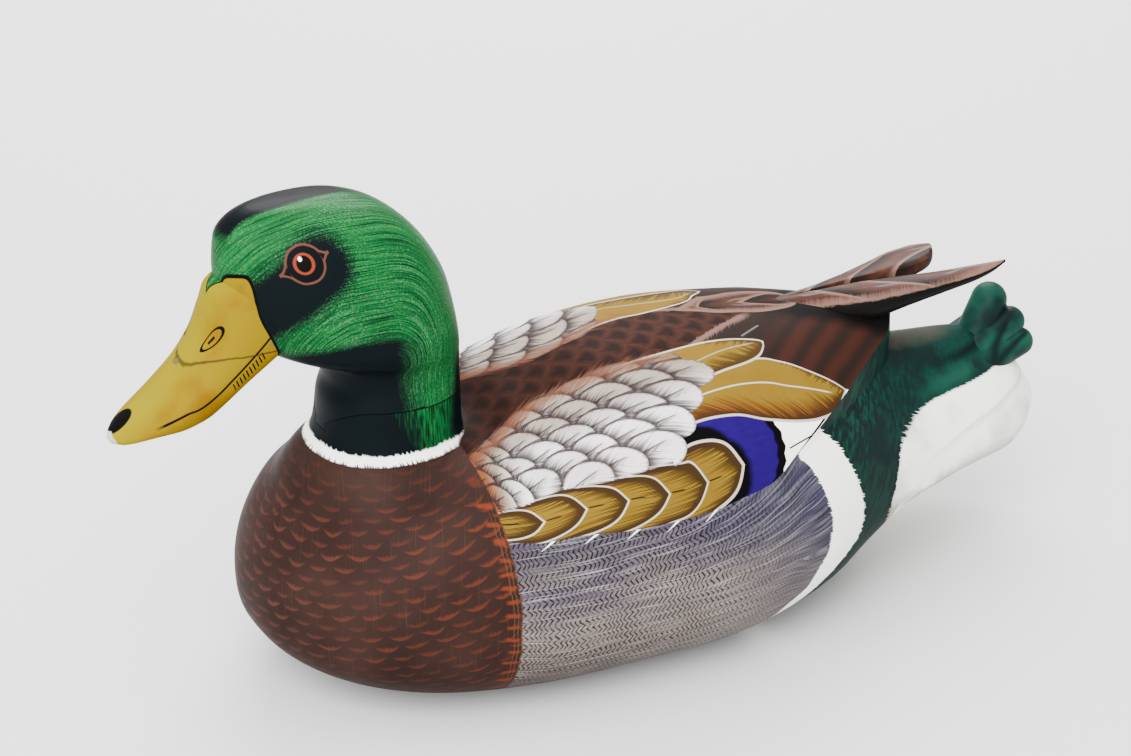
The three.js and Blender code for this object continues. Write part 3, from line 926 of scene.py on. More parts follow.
def flank_colour(paint):
    """Grey with columns of small dark zigzags, under pale streaks that sweep up to the wing's end."""
    arc = paint.field("arc")
    bend = paint.curve(paint.y, FLANK_RISE) / 20 + 1
    over = paint.highest(paint.z - FLANK_WAIST_Z, 0) / bend
    under = paint.highest(arc - paint.curve(paint.y, FLANK_WAIST), 0)
    flow = over - under + paint.noise(paint.place, 30, detail=1) * 3
    zigzag = paint.math("PINGPONG", flow, ZIGZAG_HEIGHT)
    column = paint.y + zigzag * ZIGZAG_SLANT + paint.noise(paint.place, 13) * 5
    bar = paint.math("PINGPONG", column, ZIGZAG_HALF_STEP)
    gap = paint.noise(paint.at(paint.y * 0.06, flow * 0.55), 1, detail=1)
    ticks = paint.ramp(bar, 0.58, 0.78) * paint.ramp(gap, 0.74, 0.5)
    hue = paint.noise(paint.at(paint.y * 0.018, flow * 0.06), 1)
    high = paint.ramp(paint.z, 52, 72)
    ground = paint.mix(high, FLANK_BEIGE, FLANK_GREY)
    ground = paint.mix(paint.ramp(hue, 0.4, 0.6) * paint.ramp(paint.z, 38, 62) * 0.9, ground, FLANK_PURPLE)
    ground = paint.mix(paint.ramp(paint.y + paint.z * 0.6, 45, 100) * 0.8, ground, FLANK_BLUE)
    ground = paint.mix(paint.ramp(paint.z, 42, 10) * paint.ramp(paint.y, 15, -50), ground, FLANK_BROWN)
    streak = paint.noise(paint.at(paint.y * 0.03, flow * 0.55, 3), 1)
    colour = paint.mix(paint.ramp(streak, 0.5, 0.74) * 0.16, ground, FLANK_LIGHT)
    dark = paint.ramp(paint.y, 66, 12) * 0.8 + 0.15
    colour = paint.mix(ticks * dark, colour, FLANK_TICK)
    rear = paint.ramp(paint.y, 0, 60)
    thread = paint.noise(paint.at(paint.y * 0.035, flow * 1.9, 7), 1, detail=1)
    fine = paint.noise(paint.at(paint.y * 0.05, flow * 3.2, 8), 1, detail=1)
    colour = paint.mix(paint.ramp(fine, 0.5, 0.36) * rear * 0.7, colour, FLANK_TICK)
    colour = paint.mix(paint.ramp(fine, 0.58, 0.7) * rear * 0.22, colour, FLANK_LIGHT)
    return paint.mix(paint.ramp(thread, 0.58, 0.7) * (0.42 - rear * 0.25), colour, FLANK_LIGHT)


CURL_FOLD_SHADE_Z = 84  # height of the painted shade along the fold under the middle curl, which rises towards the tail by the next number
CURL_FOLD_SHADE_RISE = 2.5
WORN_ARC = 17  # the rubbed paint on top of the rump reaches this far from the spine at the most


def rump_colour(paint):
    """Bottle green brushed with dark strokes, lighter towards the curls, with painted shade along the fold
    under the middle curl.
    """
    arc = paint.field("arc")
    lean = paint.y * 0.6 + paint.z * 0.66 - paint.x * 0.45
    side = paint.y * 0.74 - paint.z * 0.67
    strokes = paint.noise(paint.at(side * 0.6, lean * 0.045, paint.x * 0.25), 1, detail=3)
    cloud = paint.noise(paint.place, 20, detail=3)
    colour = paint.mix(paint.ramp(strokes, 0.4, 0.66), RUMP_DARK, RUMP_GREEN)
    colour = paint.mix(paint.ramp(cloud, 0.52, 0.4) * 0.8, colour, RUMP_DARK)
    soft = paint.ramp(paint.y, 125, 160)
    colour = paint.mix(paint.ramp(cloud, 0.4, 0.6) * soft * 0.6, colour, RUMP_GREEN)
    above_tail = paint.z - paint.curve(paint.y, TAIL_EDGE)
    glow = paint.line(above_tail - 4, 5, 1) * paint.ramp(paint.y, 140, 165)
    glow = glow * paint.ramp(cloud, 0.35, 0.6)
    colour = paint.mix(glow * 0.6, colour, RUMP_LIGHT)
    near_wing = paint.ramp(paint.y + arc * 0.66, 148, 138) * paint.ramp(strokes, 0.48, 0.6)
    colour = paint.mix(near_wing * 0.4, colour, RUMP_LIGHT)
    # painted shade along the fold under the middle curl
    fold = abs(paint.z - CURL_FOLD_SHADE_Z - paint.ramp(paint.y, 178, 210) * CURL_FOLD_SHADE_RISE + cloud * 2 - 1)
    fold = paint.ramp(fold, 2.4, 0.3) * paint.ramp(paint.y, 158, 178) * paint.ramp(paint.x, 7, 10)
    colour = paint.mix(fold * 0.85, colour, NECK_DARK)
    worn = paint.ramp(arc + cloud * 14, WORN_ARC, WORN_ARC - 5) * paint.ramp(paint.y, 182, 172)
    return paint.mix(worn * 0.75, colour, RUMP_WORN)


TAIL_FRONT_Y = 114
TAIL_CREASE = (160, 58)  # (y, z) of a place on it
TAIL_CREASE_SLOPE = 0.17


def tail_colour(paint):
    """White with grey stains, one carved crease shaded in, and the yellowed lower edge."""
    stain = paint.noise(paint.place, 18)
    colour = paint.mix(paint.ramp(stain, 0.45, 0.75) * 0.5, TAIL_WHITE, TAIL_GREY)
    crease = paint.z - TAIL_CREASE[1] - (paint.y - TAIL_CREASE[0]) * TAIL_CREASE_SLOPE
    shade = paint.ramp(crease, -3.5, 0) * paint.ramp(crease, 0.5, 0) * paint.ramp(paint.y, 130, 175)
    colour = paint.mix(shade * 0.45, colour, TAIL_GREY)
    low = paint.ramp(paint.z, 49, 43) * paint.ramp(stain, 0.35, 0.55)
    return paint.mix(low * 0.8, colour, TAIL_YELLOW)


def wing_arc(paint):
    """Distance from the spine as the wings are painted: the right wing's feathers reach nearer to it."""
    arc = paint.field("arc")
    shift = paint.curve(paint.y, RIGHT_SHIFT) * paint.ramp(arc, 75, 10)
    return arc + shift * (paint.across < 0)


SCAPULAR_STRETCH_Y = -16  # the feathers grow longer behind this y
SCAPULAR_STRETCH = 0.26
SCAPULAR_SHORT_Y = -55  # and shorter ahead of this one
SCAPULAR_SHORTENING = 0.8
SCAPULAR_ROW = 9.6
SCAPULAR_FIRST_ROW = 21.9  # distance of its middle from the spine
SCAPULAR_STEP = 12.8
SCAPULAR_HALF = (9.6, 8.8)  # along the feather and across it
SCAPULAR_LEAN = 0.25
SCAPULAR_QUILL = 2.9  # how far a quill starts off the middle of its feather
SCAPULAR_TOP_END = (6, 14)  # where the first row ends, and how much further back each row below it does
SCAPULAR_LOW_END = (42, 6)  # lower down, each row ends this much further forward than the one above it
SCAPULAR_ROWS = 5
SCAPULAR_LAST_Y = -30  # one more row begins behind this
VEIL_LENGTH = 6.5  # of the orange hairs over the topmost feathers


def scapular_layers(paint, base):
    """White-grey feathers in staggered rows, with orange hairs along their upper edge."""
    arc = wing_arc(paint)
    wander = paint.noise(paint.place, 30, detail=1) * 5 - 2.5
    u = paint.y - paint.highest(paint.y - SCAPULAR_STRETCH_Y, 0) * SCAPULAR_STRETCH + wander + 4
    u = u + (paint.across < 0) * RIGHT_AHEAD
    u = u - paint.highest(SCAPULAR_SHORT_Y - paint.y, 0) * SCAPULAR_SHORTENING
    v = arc - SCAPULAR_FIRST_ROW + paint.noise(paint.at(paint.y, arc, 9), 26, detail=1) * 4 - 2

    def exists(tip, line):
        top_end = line * SCAPULAR_TOP_END[1] + SCAPULAR_TOP_END[0]
        low_end = SCAPULAR_LOW_END[0] - line * SCAPULAR_LOW_END[1]
        last_row = (tip > SCAPULAR_LAST_Y) * (line < SCAPULAR_ROWS + 0.5)
        in_rows = paint.highest(line < SCAPULAR_ROWS - 0.5, last_row)
        return (tip < paint.lowest(top_end, low_end)) * in_rows

    rows = paint.ovals(u, v, SCAPULAR_STEP, SCAPULAR_ROW, SCAPULAR_HALF, SCAPULAR_LEAN, exists)
    own = paint.dice(rows["tip"], rows["row"], 2)
    side = (rows["off"] > 0) * 40
    barb = rows["deep"] * 0.6 + abs(rows["off"]) + side
    hair, near = paint.strands(barb, pitch=0.55, key=own)
    reach = hair * near
    base_shade = paint.ramp(rows["past"] - reach * 7, 1.6, -0.6)
    haze = paint.ramp(rows["past"], 5, 0)
    off_quill = rows["off"] + SCAPULAR_QUILL - rows["deep"] * 0.1
    quill = paint.line(off_quill, 0.42, 0.2) * paint.ramp(rows["deep"], 4, 5.5)
    quill_shade = paint.ramp(off_quill - reach * 3, 1.8, 0.2) * paint.ramp(off_quill, -0.5, 0.2)
    quill_shade = quill_shade * paint.ramp(rows["deep"], 3, 8)
    rim_hair = paint.ramp(rows["inside"] - reach * 1.2, 0.35, 0)
    beige = paint.ramp(arc - paint.ramp(paint.y, -70, -30) * 6, 46, 34)
    yellow = paint.ramp(paint.y + arc * 0.2, -44, -54)
    light = paint.mix(own * 0.6, FEATHER_WHITE, FEATHER_GREY)
    light = paint.mix(beige, light, FEATHER_BEIGE)
    light = paint.mix(yellow * 0.8, light, FEATHER_YELLOW)
    light = paint.mix(paint.ramp(arc - paint.curve(paint.y, SCAPULAR_TOP), 9, 2) * 0.8, light, FEATHER_TAN)
    front = paint.ramp(paint.y + arc * 0.05, -60, -66)
    light = paint.mix(front, light, FRONT_ORANGE)
    barbs = paint.ramp(hair, 0.3, 0.8) * near**2 * paint.ramp(rows["inside"], 0.6, 2)
    light = paint.mix(barbs * 0.3, light, HAIR_HAZE)
    light = paint.mix(quill_shade * 0.55, light, HAIR_HAZE)
    light = paint.mix(haze * 0.8, light, HAIR_HAZE)
    light = paint.mix(base_shade * 0.9, light, HAIR_BROWN)
    light = paint.mix(quill * 0.8, light, HAIR_BROWN)
    light = paint.mix(rim_hair * 0.75, light, HAIR_BROWN)
    top = paint.curve(paint.y, SCAPULAR_TOP)
    veil, near_veil = paint.strands(paint.y * 0.5 + arc * 0.86, pitch=0.62, key=5)
    above = arc - top + veil * near_veil * VEIL_LENGTH
    orange = paint.ramp(above, 1.5, 2.6) * paint.ramp(arc - top - veil * 4, 5, 1)
    low = paint.curve(paint.y, GOLD_TOP) + 2 - arc - reach * 2.5
    shown = rows["there"] * paint.ramp(arc - top, -1, 2)
    shown = shown * paint.highest(paint.ramp(low, 0, 0.4), paint.y > 2)
    colour = paint.mix(shown, base, light)
    return paint.mix(orange * 0.7 * paint.ramp(paint.y, 34, 18), colour, FEATHER_ORANGE)


GOLD_LAST = 6
GOLD_FIRST_Y = -53.9
GOLD_STEP = 17
GOLD_LINE = [(-75, 67), (-53.9, 74), (-34.8, 78.9), (-18, 84.1), (-0.8, 88.5), (15.9, 88.7), (31.2, 85.9)]
GOLD_TOP = [
    (-75, 62.3), (-52, 63.3), (-37, 67.5), (-22, 72), (-8, 74.5), (2, 75), (9, 72), (16, 70), (32, 68),
]
GOLD_LOW = [
    (-75, 73), (-62.7, 79), (-50.8, 83.2), (-35, 89.4), (-19, 95.5), (-6, 99), (6.7, 101.9),
    (16.4, 101), (32, 103),
]
CHEVRON_SLANT = 6.5  # how far a rim falls back evenly from its tip to its ends
CHEVRON_SLANT_MORE = 2.5  # and how much more below the line of tips
CHEVRON_HOOK = 20  # how far it falls back besides, at its ends
CHEVRON_HOOK_LESS = 10  # and how much less below that line
CHEVRON_POWER = 6  # the higher, the later that hook begins
CHEVRON_POWER_LESS = 2  # the same, below that line
CHEVRON_FRINGE = 6.2  # how deep the brown barbs reach inside a rim


def chevrons(paint):
    """The lower row of six gold feathers with pointed tips: how far inside its own rim a place is, how far
    past the rim before it, how far off the line of tips, its feather's number and its share of the way
    from that line to the row's edge."""
    arc = wing_arc(paint)
    middle = paint.curve(paint.y, GOLD_LINE)
    off = arc - middle
    room_above = middle - paint.curve(paint.y, GOLD_TOP)
    room_below = paint.curve(paint.y, GOLD_LOW) - middle
    room = paint.choose(off > 0, room_above, room_below)
    share = paint.lowest(abs(off) / room, 1.12)
    low = off > 0
    straight = low * CHEVRON_SLANT_MORE + CHEVRON_SLANT
    turn = CHEVRON_HOOK - low * CHEVRON_HOOK_LESS
    power = CHEVRON_POWER - low * CHEVRON_POWER_LESS
    back = share * straight + share**power * turn
    slope = (share ** (power - 1) * turn * power + straight) / room
    count = (paint.y - GOLD_FIRST_Y + back) / GOLD_STEP
    number = paint.highest(paint.math("CEIL", count), 0)
    lean = (slope**2 + 1) ** 0.5
    inside = (number - count) * GOLD_STEP / lean
    past = (count + 1 - number) * GOLD_STEP / lean
    return {"inside": inside, "past": past, "off": off, "number": number, "share": share}


def chevron_layers(paint, base, row):
    """The lower gold feathers: brown barbs inside each rim and a dark shaft at its root."""
    arc = wing_arc(paint)
    there = (row["number"] < GOLD_LAST - 0.5) * (arc > 50) * (arc < paint.curve(paint.y, FEATHERS_END))
    hair, near = paint.strands(row["off"] + paint.y * 0.1, pitch=0.5, key=row["number"])
    reach = hair * near
    upper = paint.ramp(row["off"], 1, -4)
    fringe = upper * 2.5 + CHEVRON_FRINGE - paint.ramp(row["off"], 6, 12) * 2
    barb = paint.ramp(row["inside"] - fringe * (0.42 + reach * 1.8), 0.5, -0.5)
    tan = paint.ramp(row["share"] - 0.55 - reach * 0.3, 0, 0.2) * upper
    shaft = paint.line(row["off"] + 0.4, 0.42, 0.2)
    shaft = shaft * paint.ramp(row["past"], 6.5, 5) * paint.ramp(row["past"], 0.4, 0.8)
    gold = paint.mix(paint.noise(paint.place, 9), GOLD, GOLD_LIGHT)
    gold = paint.mix(tan * 0.8, gold, GOLD_TAN)
    gold = paint.mix(barb * 0.92, gold, GOLD_BROWN)
    gold = paint.mix(shaft * 0.9, gold, BLACK)
    return paint.mix(there, base, gold)


def chevron_rims(paint, row):
    """Pale rims of the lower gold feathers."""
    arc = wing_arc(paint)
    first = paint.line(row["inside"] - 0.3, 0.55, 0.33)
    last = (row["number"] > GOLD_LAST - 0.5) * (row["number"] < GOLD_LAST + 0.5)
    last = last * paint.ramp(row["past"], 0.6, 0.35)
    rim = paint.highest(first * (row["number"] < GOLD_LAST - 0.5), last)
    return rim * (arc > 55)


HOOK_Y = -53.4
HOOK_LEAN = 1.7
HOOK_LENGTH = 3.6


def hooks(paint, below):
    """Ends of the pale rims, which hook out a little way over the flank."""
    count = (paint.y - HOOK_Y + below * HOOK_LEAN) / GOLD_STEP
    off = abs(count - paint.math("ROUND", count)) * GOLD_STEP / (1 + HOOK_LEAN**2) ** 0.5
    width = paint.ramp(below, HOOK_LENGTH, 0) * 0.45
    there = (paint.y > -68) * (paint.y < 22) * (below < HOOK_LENGTH)
    return paint.ramp(off - width, 0.1, -0.15) * there * (width > 0.04)


GOLD_1_TOP = [(10, 26.5), (19.7, 26.6), (45, 26.8), (58, 28.2), (66.3, 31)]
GOLD_1_LOW = [(10, 49), (26.1, 47.2), (40, 44.8), (52, 42.6), (58.7, 40.1), (63.5, 36), (66.3, 31)]
GOLD_1_SHAFT = [(20, 39), (33.3, 36.2), (45, 33.6), (60.7, 31.6)]
GOLD_2_TOP = [(14, 43), (58.7, 40.1), (66.4, 42.1), (80.8, 49.1), (94.4, 56.6)]
GOLD_2_LOW = [
    (5, 67.5), (14.8, 64.8), (32.2, 65.4), (50.8, 70.2), (67.7, 71.5), (77.6, 70.1), (85.3, 66.4),
    (90.5, 61.5), (94.4, 56.6),
]
GOLD_2_SHAFT = [(20, 54.5), (29.3, 52.9), (49.4, 52.4), (66.4, 55.3), (85.2, 58.8)]
LEAF_TIP = 34  # the tip, where the barbs are darker, begins this far before the end
LEAF_FRINGE = 5.5  # how deep the brown barbs reach inside the low edge


def leaf_layers(paint, base, top, low, shaft, key, warmth):
    """One large gold feather between its top and low edges."""
    end = top[-1][0]
    arc = wing_arc(paint)
    above = arc - paint.curve(paint.y, top)
    below = paint.curve(paint.y, low) - arc
    inside = paint.lowest(above, below * 0.85)
    inside = paint.lowest(inside, (end - paint.y) * 0.8)
    off = arc - paint.curve(paint.y, shaft)
    hair, near = paint.strands(abs(off) * 0.75 - paint.y * 0.62, pitch=0.6, key=key)
    reach = hair * near
    tip = paint.ramp(paint.y, end - LEAF_TIP, end - 6)
    fringe = paint.ramp(off, -1, 3) * LEAF_FRINGE + tip * 5 + 0.4
    barb = paint.ramp(inside - fringe * (0.3 + reach * 1.5), 0.6, -0.6)
    warm = paint.ramp(inside - reach * 3, 8, 3) * paint.ramp(off, 0, 4)
    gold = paint.mix(paint.noise(paint.place, 12), GOLD, GOLD_LIGHT)
    gold = paint.mix(warm * warmth, gold, GOLD_ORANGE)
    gold = paint.mix(barb * 0.85, gold, GOLD_BROWN)
    line = paint.line(off, 0.48, 0.25) * paint.ramp(paint.y, shaft[-1][0] + 1, shaft[-1][0] - 2)
    gold = paint.mix(line * (warmth * 0.6 + 0.4), gold, RIM)
    gold = paint.mix(paint.ramp(inside, 1.05, 0.8), gold, RIM)
    return paint.mix(paint.ramp(inside, -0.1, 0.15) * (paint.y > top[0][0] - 12), base, gold)


SPECULUM_END = [  # (distance from the spine, y)
    (66, 49), (70.4, 51.1), (77.5, 52.9), (86.2, 51.4), (91.8, 48.7), (97, 44),
]
SPECULUM_BLACK = [  # the same
    (62, 10), (65.9, 17), (69.1, 23.6), (74.8, 28.2), (82.3, 33), (92.3, 32.3), (100, 27),
]
SPECULUM_LINES = [  # both ends of each, as (y, distance from the spine)
    ((55.3, 82), (71.5, 76)),
    ((49.6, 91.8), (80, 68)),
]


def speculum_layers(paint, base):
    """The blue wing patch between a soft black front and a black rear edge, and the white behind it."""
    arc = wing_arc(paint)
    wave = paint.noise(paint.place, 5) * 2 - 1
    end = paint.curve(arc, SPECULUM_END)
    blue = paint.mix(paint.noise(paint.at(paint.y * 0.15, arc * 0.5), 1, detail=3), BLUE, BLUE_LIGHT)
    front = paint.y - paint.curve(arc, SPECULUM_BLACK) + wave
    colour = paint.mix(paint.ramp(front, 2.2, -0.8), blue, BLACK)
    rear = end - paint.y + paint.math("PINGPONG", arc, 3) * 0.3
    colour = paint.mix(paint.ramp(rear, 4.6, 3.6), colour, BLACK)
    white = paint.ramp(rear, 0.3, -0.1)
    colour = paint.mix(white, colour, WHITE)
    upper_line, lower_line = (paint.stroke(paint.y, arc, *ends) for ends in SPECULUM_LINES)
    lines = paint.ramp(paint.lowest(upper_line + 0.1, lower_line), 0.55, 0.35)
    colour = paint.mix(lines, colour, BLACK)
    inside = paint.ramp(arc - paint.curve(paint.y, GOLD_2_LOW), -0.3, 0.3) * (paint.y > 0)
    return paint.mix(inside, base, colour)


NARROW_EDGE = [(30, 27.5), (35.4, 25.6), (48.1, 20), (56.5, 16.2), (68.8, 11), (80, 8)]
FOLD_EDGE = [
    (38, -4), (42, 0), (51.4, 4.6), (59, 8), (68.1, 9.2), (76.9, 10.6), (87.4, 9.7), (95, 7.5),
    (99.8, 2), (101, -2),
]
TERTIAL_BAR = 7.3  # from the middle of a dark bar to the middle of the rust beside it
TERTIAL_FIRST_BAR = 158
TERTIAL_MARK = ((58.7, 26.5), (69.6, 20.8))  # both ends, as (y, distance from the spine)


def tertial_layers(paint, base):
    """Rust feathers with dark bars, above them a narrow feather with a pale hairy edge, and painted shade
    under the wing tips.
    """
    arc = wing_arc(paint)
    y = paint.y
    hairs = paint.noise(paint.at(y * 0.35, arc * 1.6), 1)
    bars = y + arc * 1.15
    soft = paint.noise(paint.place, 22) * 6 + hairs * 1.5
    bar = paint.math("PINGPONG", bars - TERTIAL_FIRST_BAR + soft, TERTIAL_BAR)
    rust = paint.mix(paint.ramp(bar, 1.2, 5.6), TERTIAL_DARK, TERTIAL)
    rust = paint.mix(paint.ramp(bars, 114, 100) * 0.85, rust, TERTIAL_DARK)
    edge = arc - paint.curve(y, NARROW_EDGE)
    colour = paint.mix(paint.ramp(edge, 0, 0.6) * (y > 33), base, rust)
    hair, near = paint.strands(y * 0.9 + arc * 0.35, pitch=0.5, key=8)
    fringe = paint.ramp(edge - hair * near * 2.6, 2.8, 1.2) * paint.ramp(edge + hair * near * 1.6, -0.3, 0.4)
    fringe = fringe * paint.ramp(y, 31, 36) * paint.ramp(y, 72, 66)
    colour = paint.mix(fringe * 0.85, colour, BLADE_PINK)
    # painted shade on the back under the wing tips, in the colour of their dark sides
    under = paint.ramp(arc - paint.ramp(y, 80, 130) * 8, 19, 11) * paint.ramp(y, 70, 92)
    colour = paint.mix(under, colour, BLADE_SIDE)
    mark = paint.stroke(y, arc, *TERTIAL_MARK)
    return paint.mix(paint.ramp(mark, 0.55, 0.3), colour, BLADE_GREY)


FOLD_STEP = 33
FOLD_LEAN = 2.4
FOLD_TIP_Y = 99.8  # of the first point
FOLD_GLINT = (7.4, 25)  # how far inside the edge and how far past a point


def fold_colour(paint, across, key):
    """Long overlapped feathers: pink hairy edges that end in points, with shade past each point."""
    y = paint.y
    hair, near = paint.strands(y * 1.1 - across * 0.5, pitch=0.7, key=key)
    reach = hair * near
    count = (y - FOLD_TIP_Y + paint.highest(across, 0) * FOLD_LEAN) / FOLD_STEP
    number = paint.math("CEIL", count)
    past = (count + 1 - number) * FOLD_STEP
    before_tip = (FOLD_STEP - past) * 0.38
    grain = paint.noise(paint.at(y * 0.12, across * 1.2, key), 1)
    colour = paint.mix(paint.ramp(grain, 0.38, 0.66), BLADE_BROWN, BLADE_RUST)
    colour = paint.mix(paint.ramp(past - reach * 3, 16, 5) * 0.9, colour, BLADE_DARK)
    fringe = paint.lowest(across, before_tip * 2.2)
    colour = paint.mix(paint.ramp(fringe - reach * 2, 4.2, 1.2) * 0.9, colour, BLADE_PINK)
    glint = paint.line(across - FOLD_GLINT[0], 0.75, 0.3) * paint.line(past - FOLD_GLINT[1], 6, 4)
    return paint.mix(glint * 0.75, colour, BLADE_GREY)


BACK_ROW = 12.5  # from one row of the back's feathers to the next
BACK_STEP = 15
BACK_RETREAT = 6.5
BACK_POINT = 2.1  # the higher, the rounder the tips


def feathers_colour(paint, row):
    """The back and the folded wing, painted from the lowest layer up."""
    arc = paint.field("arc")
    y = paint.y
    u = y + paint.noise(paint.place, 18, detail=1) * 4
    rows = paint.scales(u, arc, BACK_ROW, BACK_STEP, BACK_RETREAT, BACK_POINT)
    hairs = paint.noise(paint.at(y * 0.35, arc * 1.6), 1)
    core = paint.ramp(rows["inside"] + hairs * 2, 1.8, 5) * paint.ramp(rows["past"], -0.5, 4)
    colour = paint.mix(paint.ramp(hairs, 0.4, 0.7), BACK_BROWN, BACK_RUST)
    colour = paint.mix(paint.ramp(y, 25, -60) * 0.55, colour, BACK_DARK)
    colour = paint.mix(core * 0.85, colour, BACK_DARK)
    colour = tertial_layers(paint, colour)
    colour = speculum_layers(paint, colour)
    colour = leaf_layers(paint, colour, GOLD_2_TOP, GOLD_2_LOW, GOLD_2_SHAFT, key=2, warmth=1)
    colour = leaf_layers(paint, colour, GOLD_1_TOP, GOLD_1_LOW, GOLD_1_SHAFT, key=1, warmth=0)
    colour = chevron_layers(paint, colour, row)
    colour = paint.mix(chevron_rims(paint, row), colour, RIM)
    colour = scapular_layers(paint, colour)
    fold = paint.curve(y, FOLD_EDGE) - paint.choose(paint.across < 0, arc, arc * 0.75)
    shown = paint.ramp(fold, -0.2, 0.3) * (y > 38)
    return paint.mix(shown, colour, fold_colour(paint, fold, key=11))


NECK_Y = -89
RING_LOW_Z = 101.4
RING_HIGH_Z = 104.9
RING_RADIUS = 36  # the paint of the neck ends this far from its middle at the front
RING_DRAWN_IN = 4.4  # and this much nearer to it at the back


def nape_dark(paint, edge):
    """How dark the middle of the nape is, which widens downwards."""
    turn = paint.math("ARCTAN2", paint.x, NECK_Y - paint.y)
    return paint.ramp(turn + edge * 0.4 + paint.ramp(paint.z, 150, 112) * 0.4, 2.65, 2.85)


def neck_green(paint):
    """Black-green at the front of the neck, brushed green at the back."""
    speck = paint.noise(paint.place, 0.9)
    streak = paint.noise(paint.at(paint.y * 1.4, paint.z * 0.12, paint.x * 0.9), 1, detail=3)
    patch = paint.ramp(paint.y + paint.z * 0.45 + streak * 12, -37, -23) * (1 - nape_dark(paint, streak))
    green = paint.mix(paint.ramp(streak + speck * 0.25, 0.48, 0.8), HEAD_DEEP, HEAD_GREEN)
    green = paint.mix(paint.ramp(streak, 0.5, 0.4) * 0.6, green, NECK_DARK)
    return paint.mix(patch, NECK_DARK, green)


RING_TAPER = (2.7, 2.0)  # the angles from the front, in radians, over which the ring fades out
RING_RISE = 0.6  # how much higher the ring lies at the back than at the front
RING_HAIRS = (1.8, 1.2)  # how far its hairs reach down and up


def neck_regions(paint):
    """How much a place is on the white ring, on the green above it, and on either of them."""
    turn = paint.math("ARCTAN2", paint.x, NECK_Y - paint.y)
    taper = paint.ramp(turn, *RING_TAPER)
    height = paint.z - paint.ramp(turn, 0.9, 2.0) * RING_RISE
    own, near = paint.strands(turn * 30 + paint.z * 0.4, pitch=0.9, key=4)
    low = height - RING_LOW_Z - own * near * RING_HAIRS[0] + (1 - taper) * 1.2
    high = RING_HIGH_Z - height + own * near * RING_HAIRS[1] - (1 - taper) * 3
    off = ((paint.y - NECK_Y) ** 2 + paint.x**2) ** 0.5 + paint.ramp(turn, 1.7, 2.3) * RING_DRAWN_IN
    near_neck = paint.ramp(off, RING_RADIUS, RING_RADIUS - 1.2)
    ring = paint.ramp(paint.lowest(low, high), -0.15, 0.25) * (taper > 0.02)
    above = paint.ramp(height - (RING_LOW_Z + RING_HIGH_Z) / 2, -0.3, 0.3)
    either = paint.ramp(height - RING_LOW_Z, -1.2, -0.9)
    return ring * near_neck, above * near_neck, either * near_neck


TICK_STEP = 4.6  # from one orange tick to the next
TICK_LENGTH = 4.5
TICK_GAIN = 3  # how much longer the longest ones are
THREAD_HALF_STEP = 0.75


def breast_end(paint, breast, edge):
    """Orange ticks along the end of the breast, and tan threads ahead of them."""
    arc = paint.field("arc")
    rung = paint.z + arc * 0.12 + paint.noise(paint.place, 12, detail=1) * 4
    tick = paint.math("PINGPONG", rung, TICK_STEP / 2)
    length = paint.dice(paint.math("FLOOR", rung / TICK_STEP), 3) * TICK_GAIN + TICK_LENGTH
    ragged = edge + paint.noise(paint.at(paint.y * 0.2, paint.z * 1.3), 1) * 2
    ticks = paint.ramp(tick, 1.35, 2.0) * paint.ramp(ragged + length, 0, 1.5) * paint.ramp(ragged, 0.6, -0.6)
    ticks = ticks * paint.ramp(paint.z, 8, 20) * paint.ramp(paint.z, 98, 90)
    breast = paint.mix(ticks * 0.85, breast, ORANGE)
    thread = paint.math("PINGPONG", edge + 0.3, THREAD_HALF_STEP)
    threads = paint.ramp(thread, 0.26, 0.1) * paint.ramp(edge, -3.8, -3.4)
    threads = threads * paint.ramp(paint.z, 92, 80)
    return paint.mix(threads * 0.7, breast, TAN)


BAND_TOP_Z = 93


def rump_layers(paint, hairs):
    """The green rump between the white band behind the flank and the white tail."""
    colour = rump_colour(paint)
    band = paint.fringe(paint.curve(paint.z, BAND_REAR) - paint.y, hairs, pitch=0.9, reach=2.2, key=5)
    colour = paint.mix(paint.ramp(band, 0.5, 1.1) * (paint.z < BAND_TOP_Z), colour, WHITE)
    hair, near = paint.strands(paint.z + paint.y * 0.5, pitch=0.7, key=6)
    reach = paint.ramp(paint.y, 152, 128) * 3.4 + 0.6
    top = paint.curve(paint.y, TAIL_EDGE) - paint.z + hair * near * reach - reach * 0.3
    front = paint.y - TAIL_FRONT_Y + hair * near * 3
    on_tail = paint.ramp(front, -0.3, 0.3) * paint.ramp(top, -0.4, 0.4)
    return paint.mix(on_tail, colour, tail_colour(paint))


GRAIN_DEPTH = 0.05


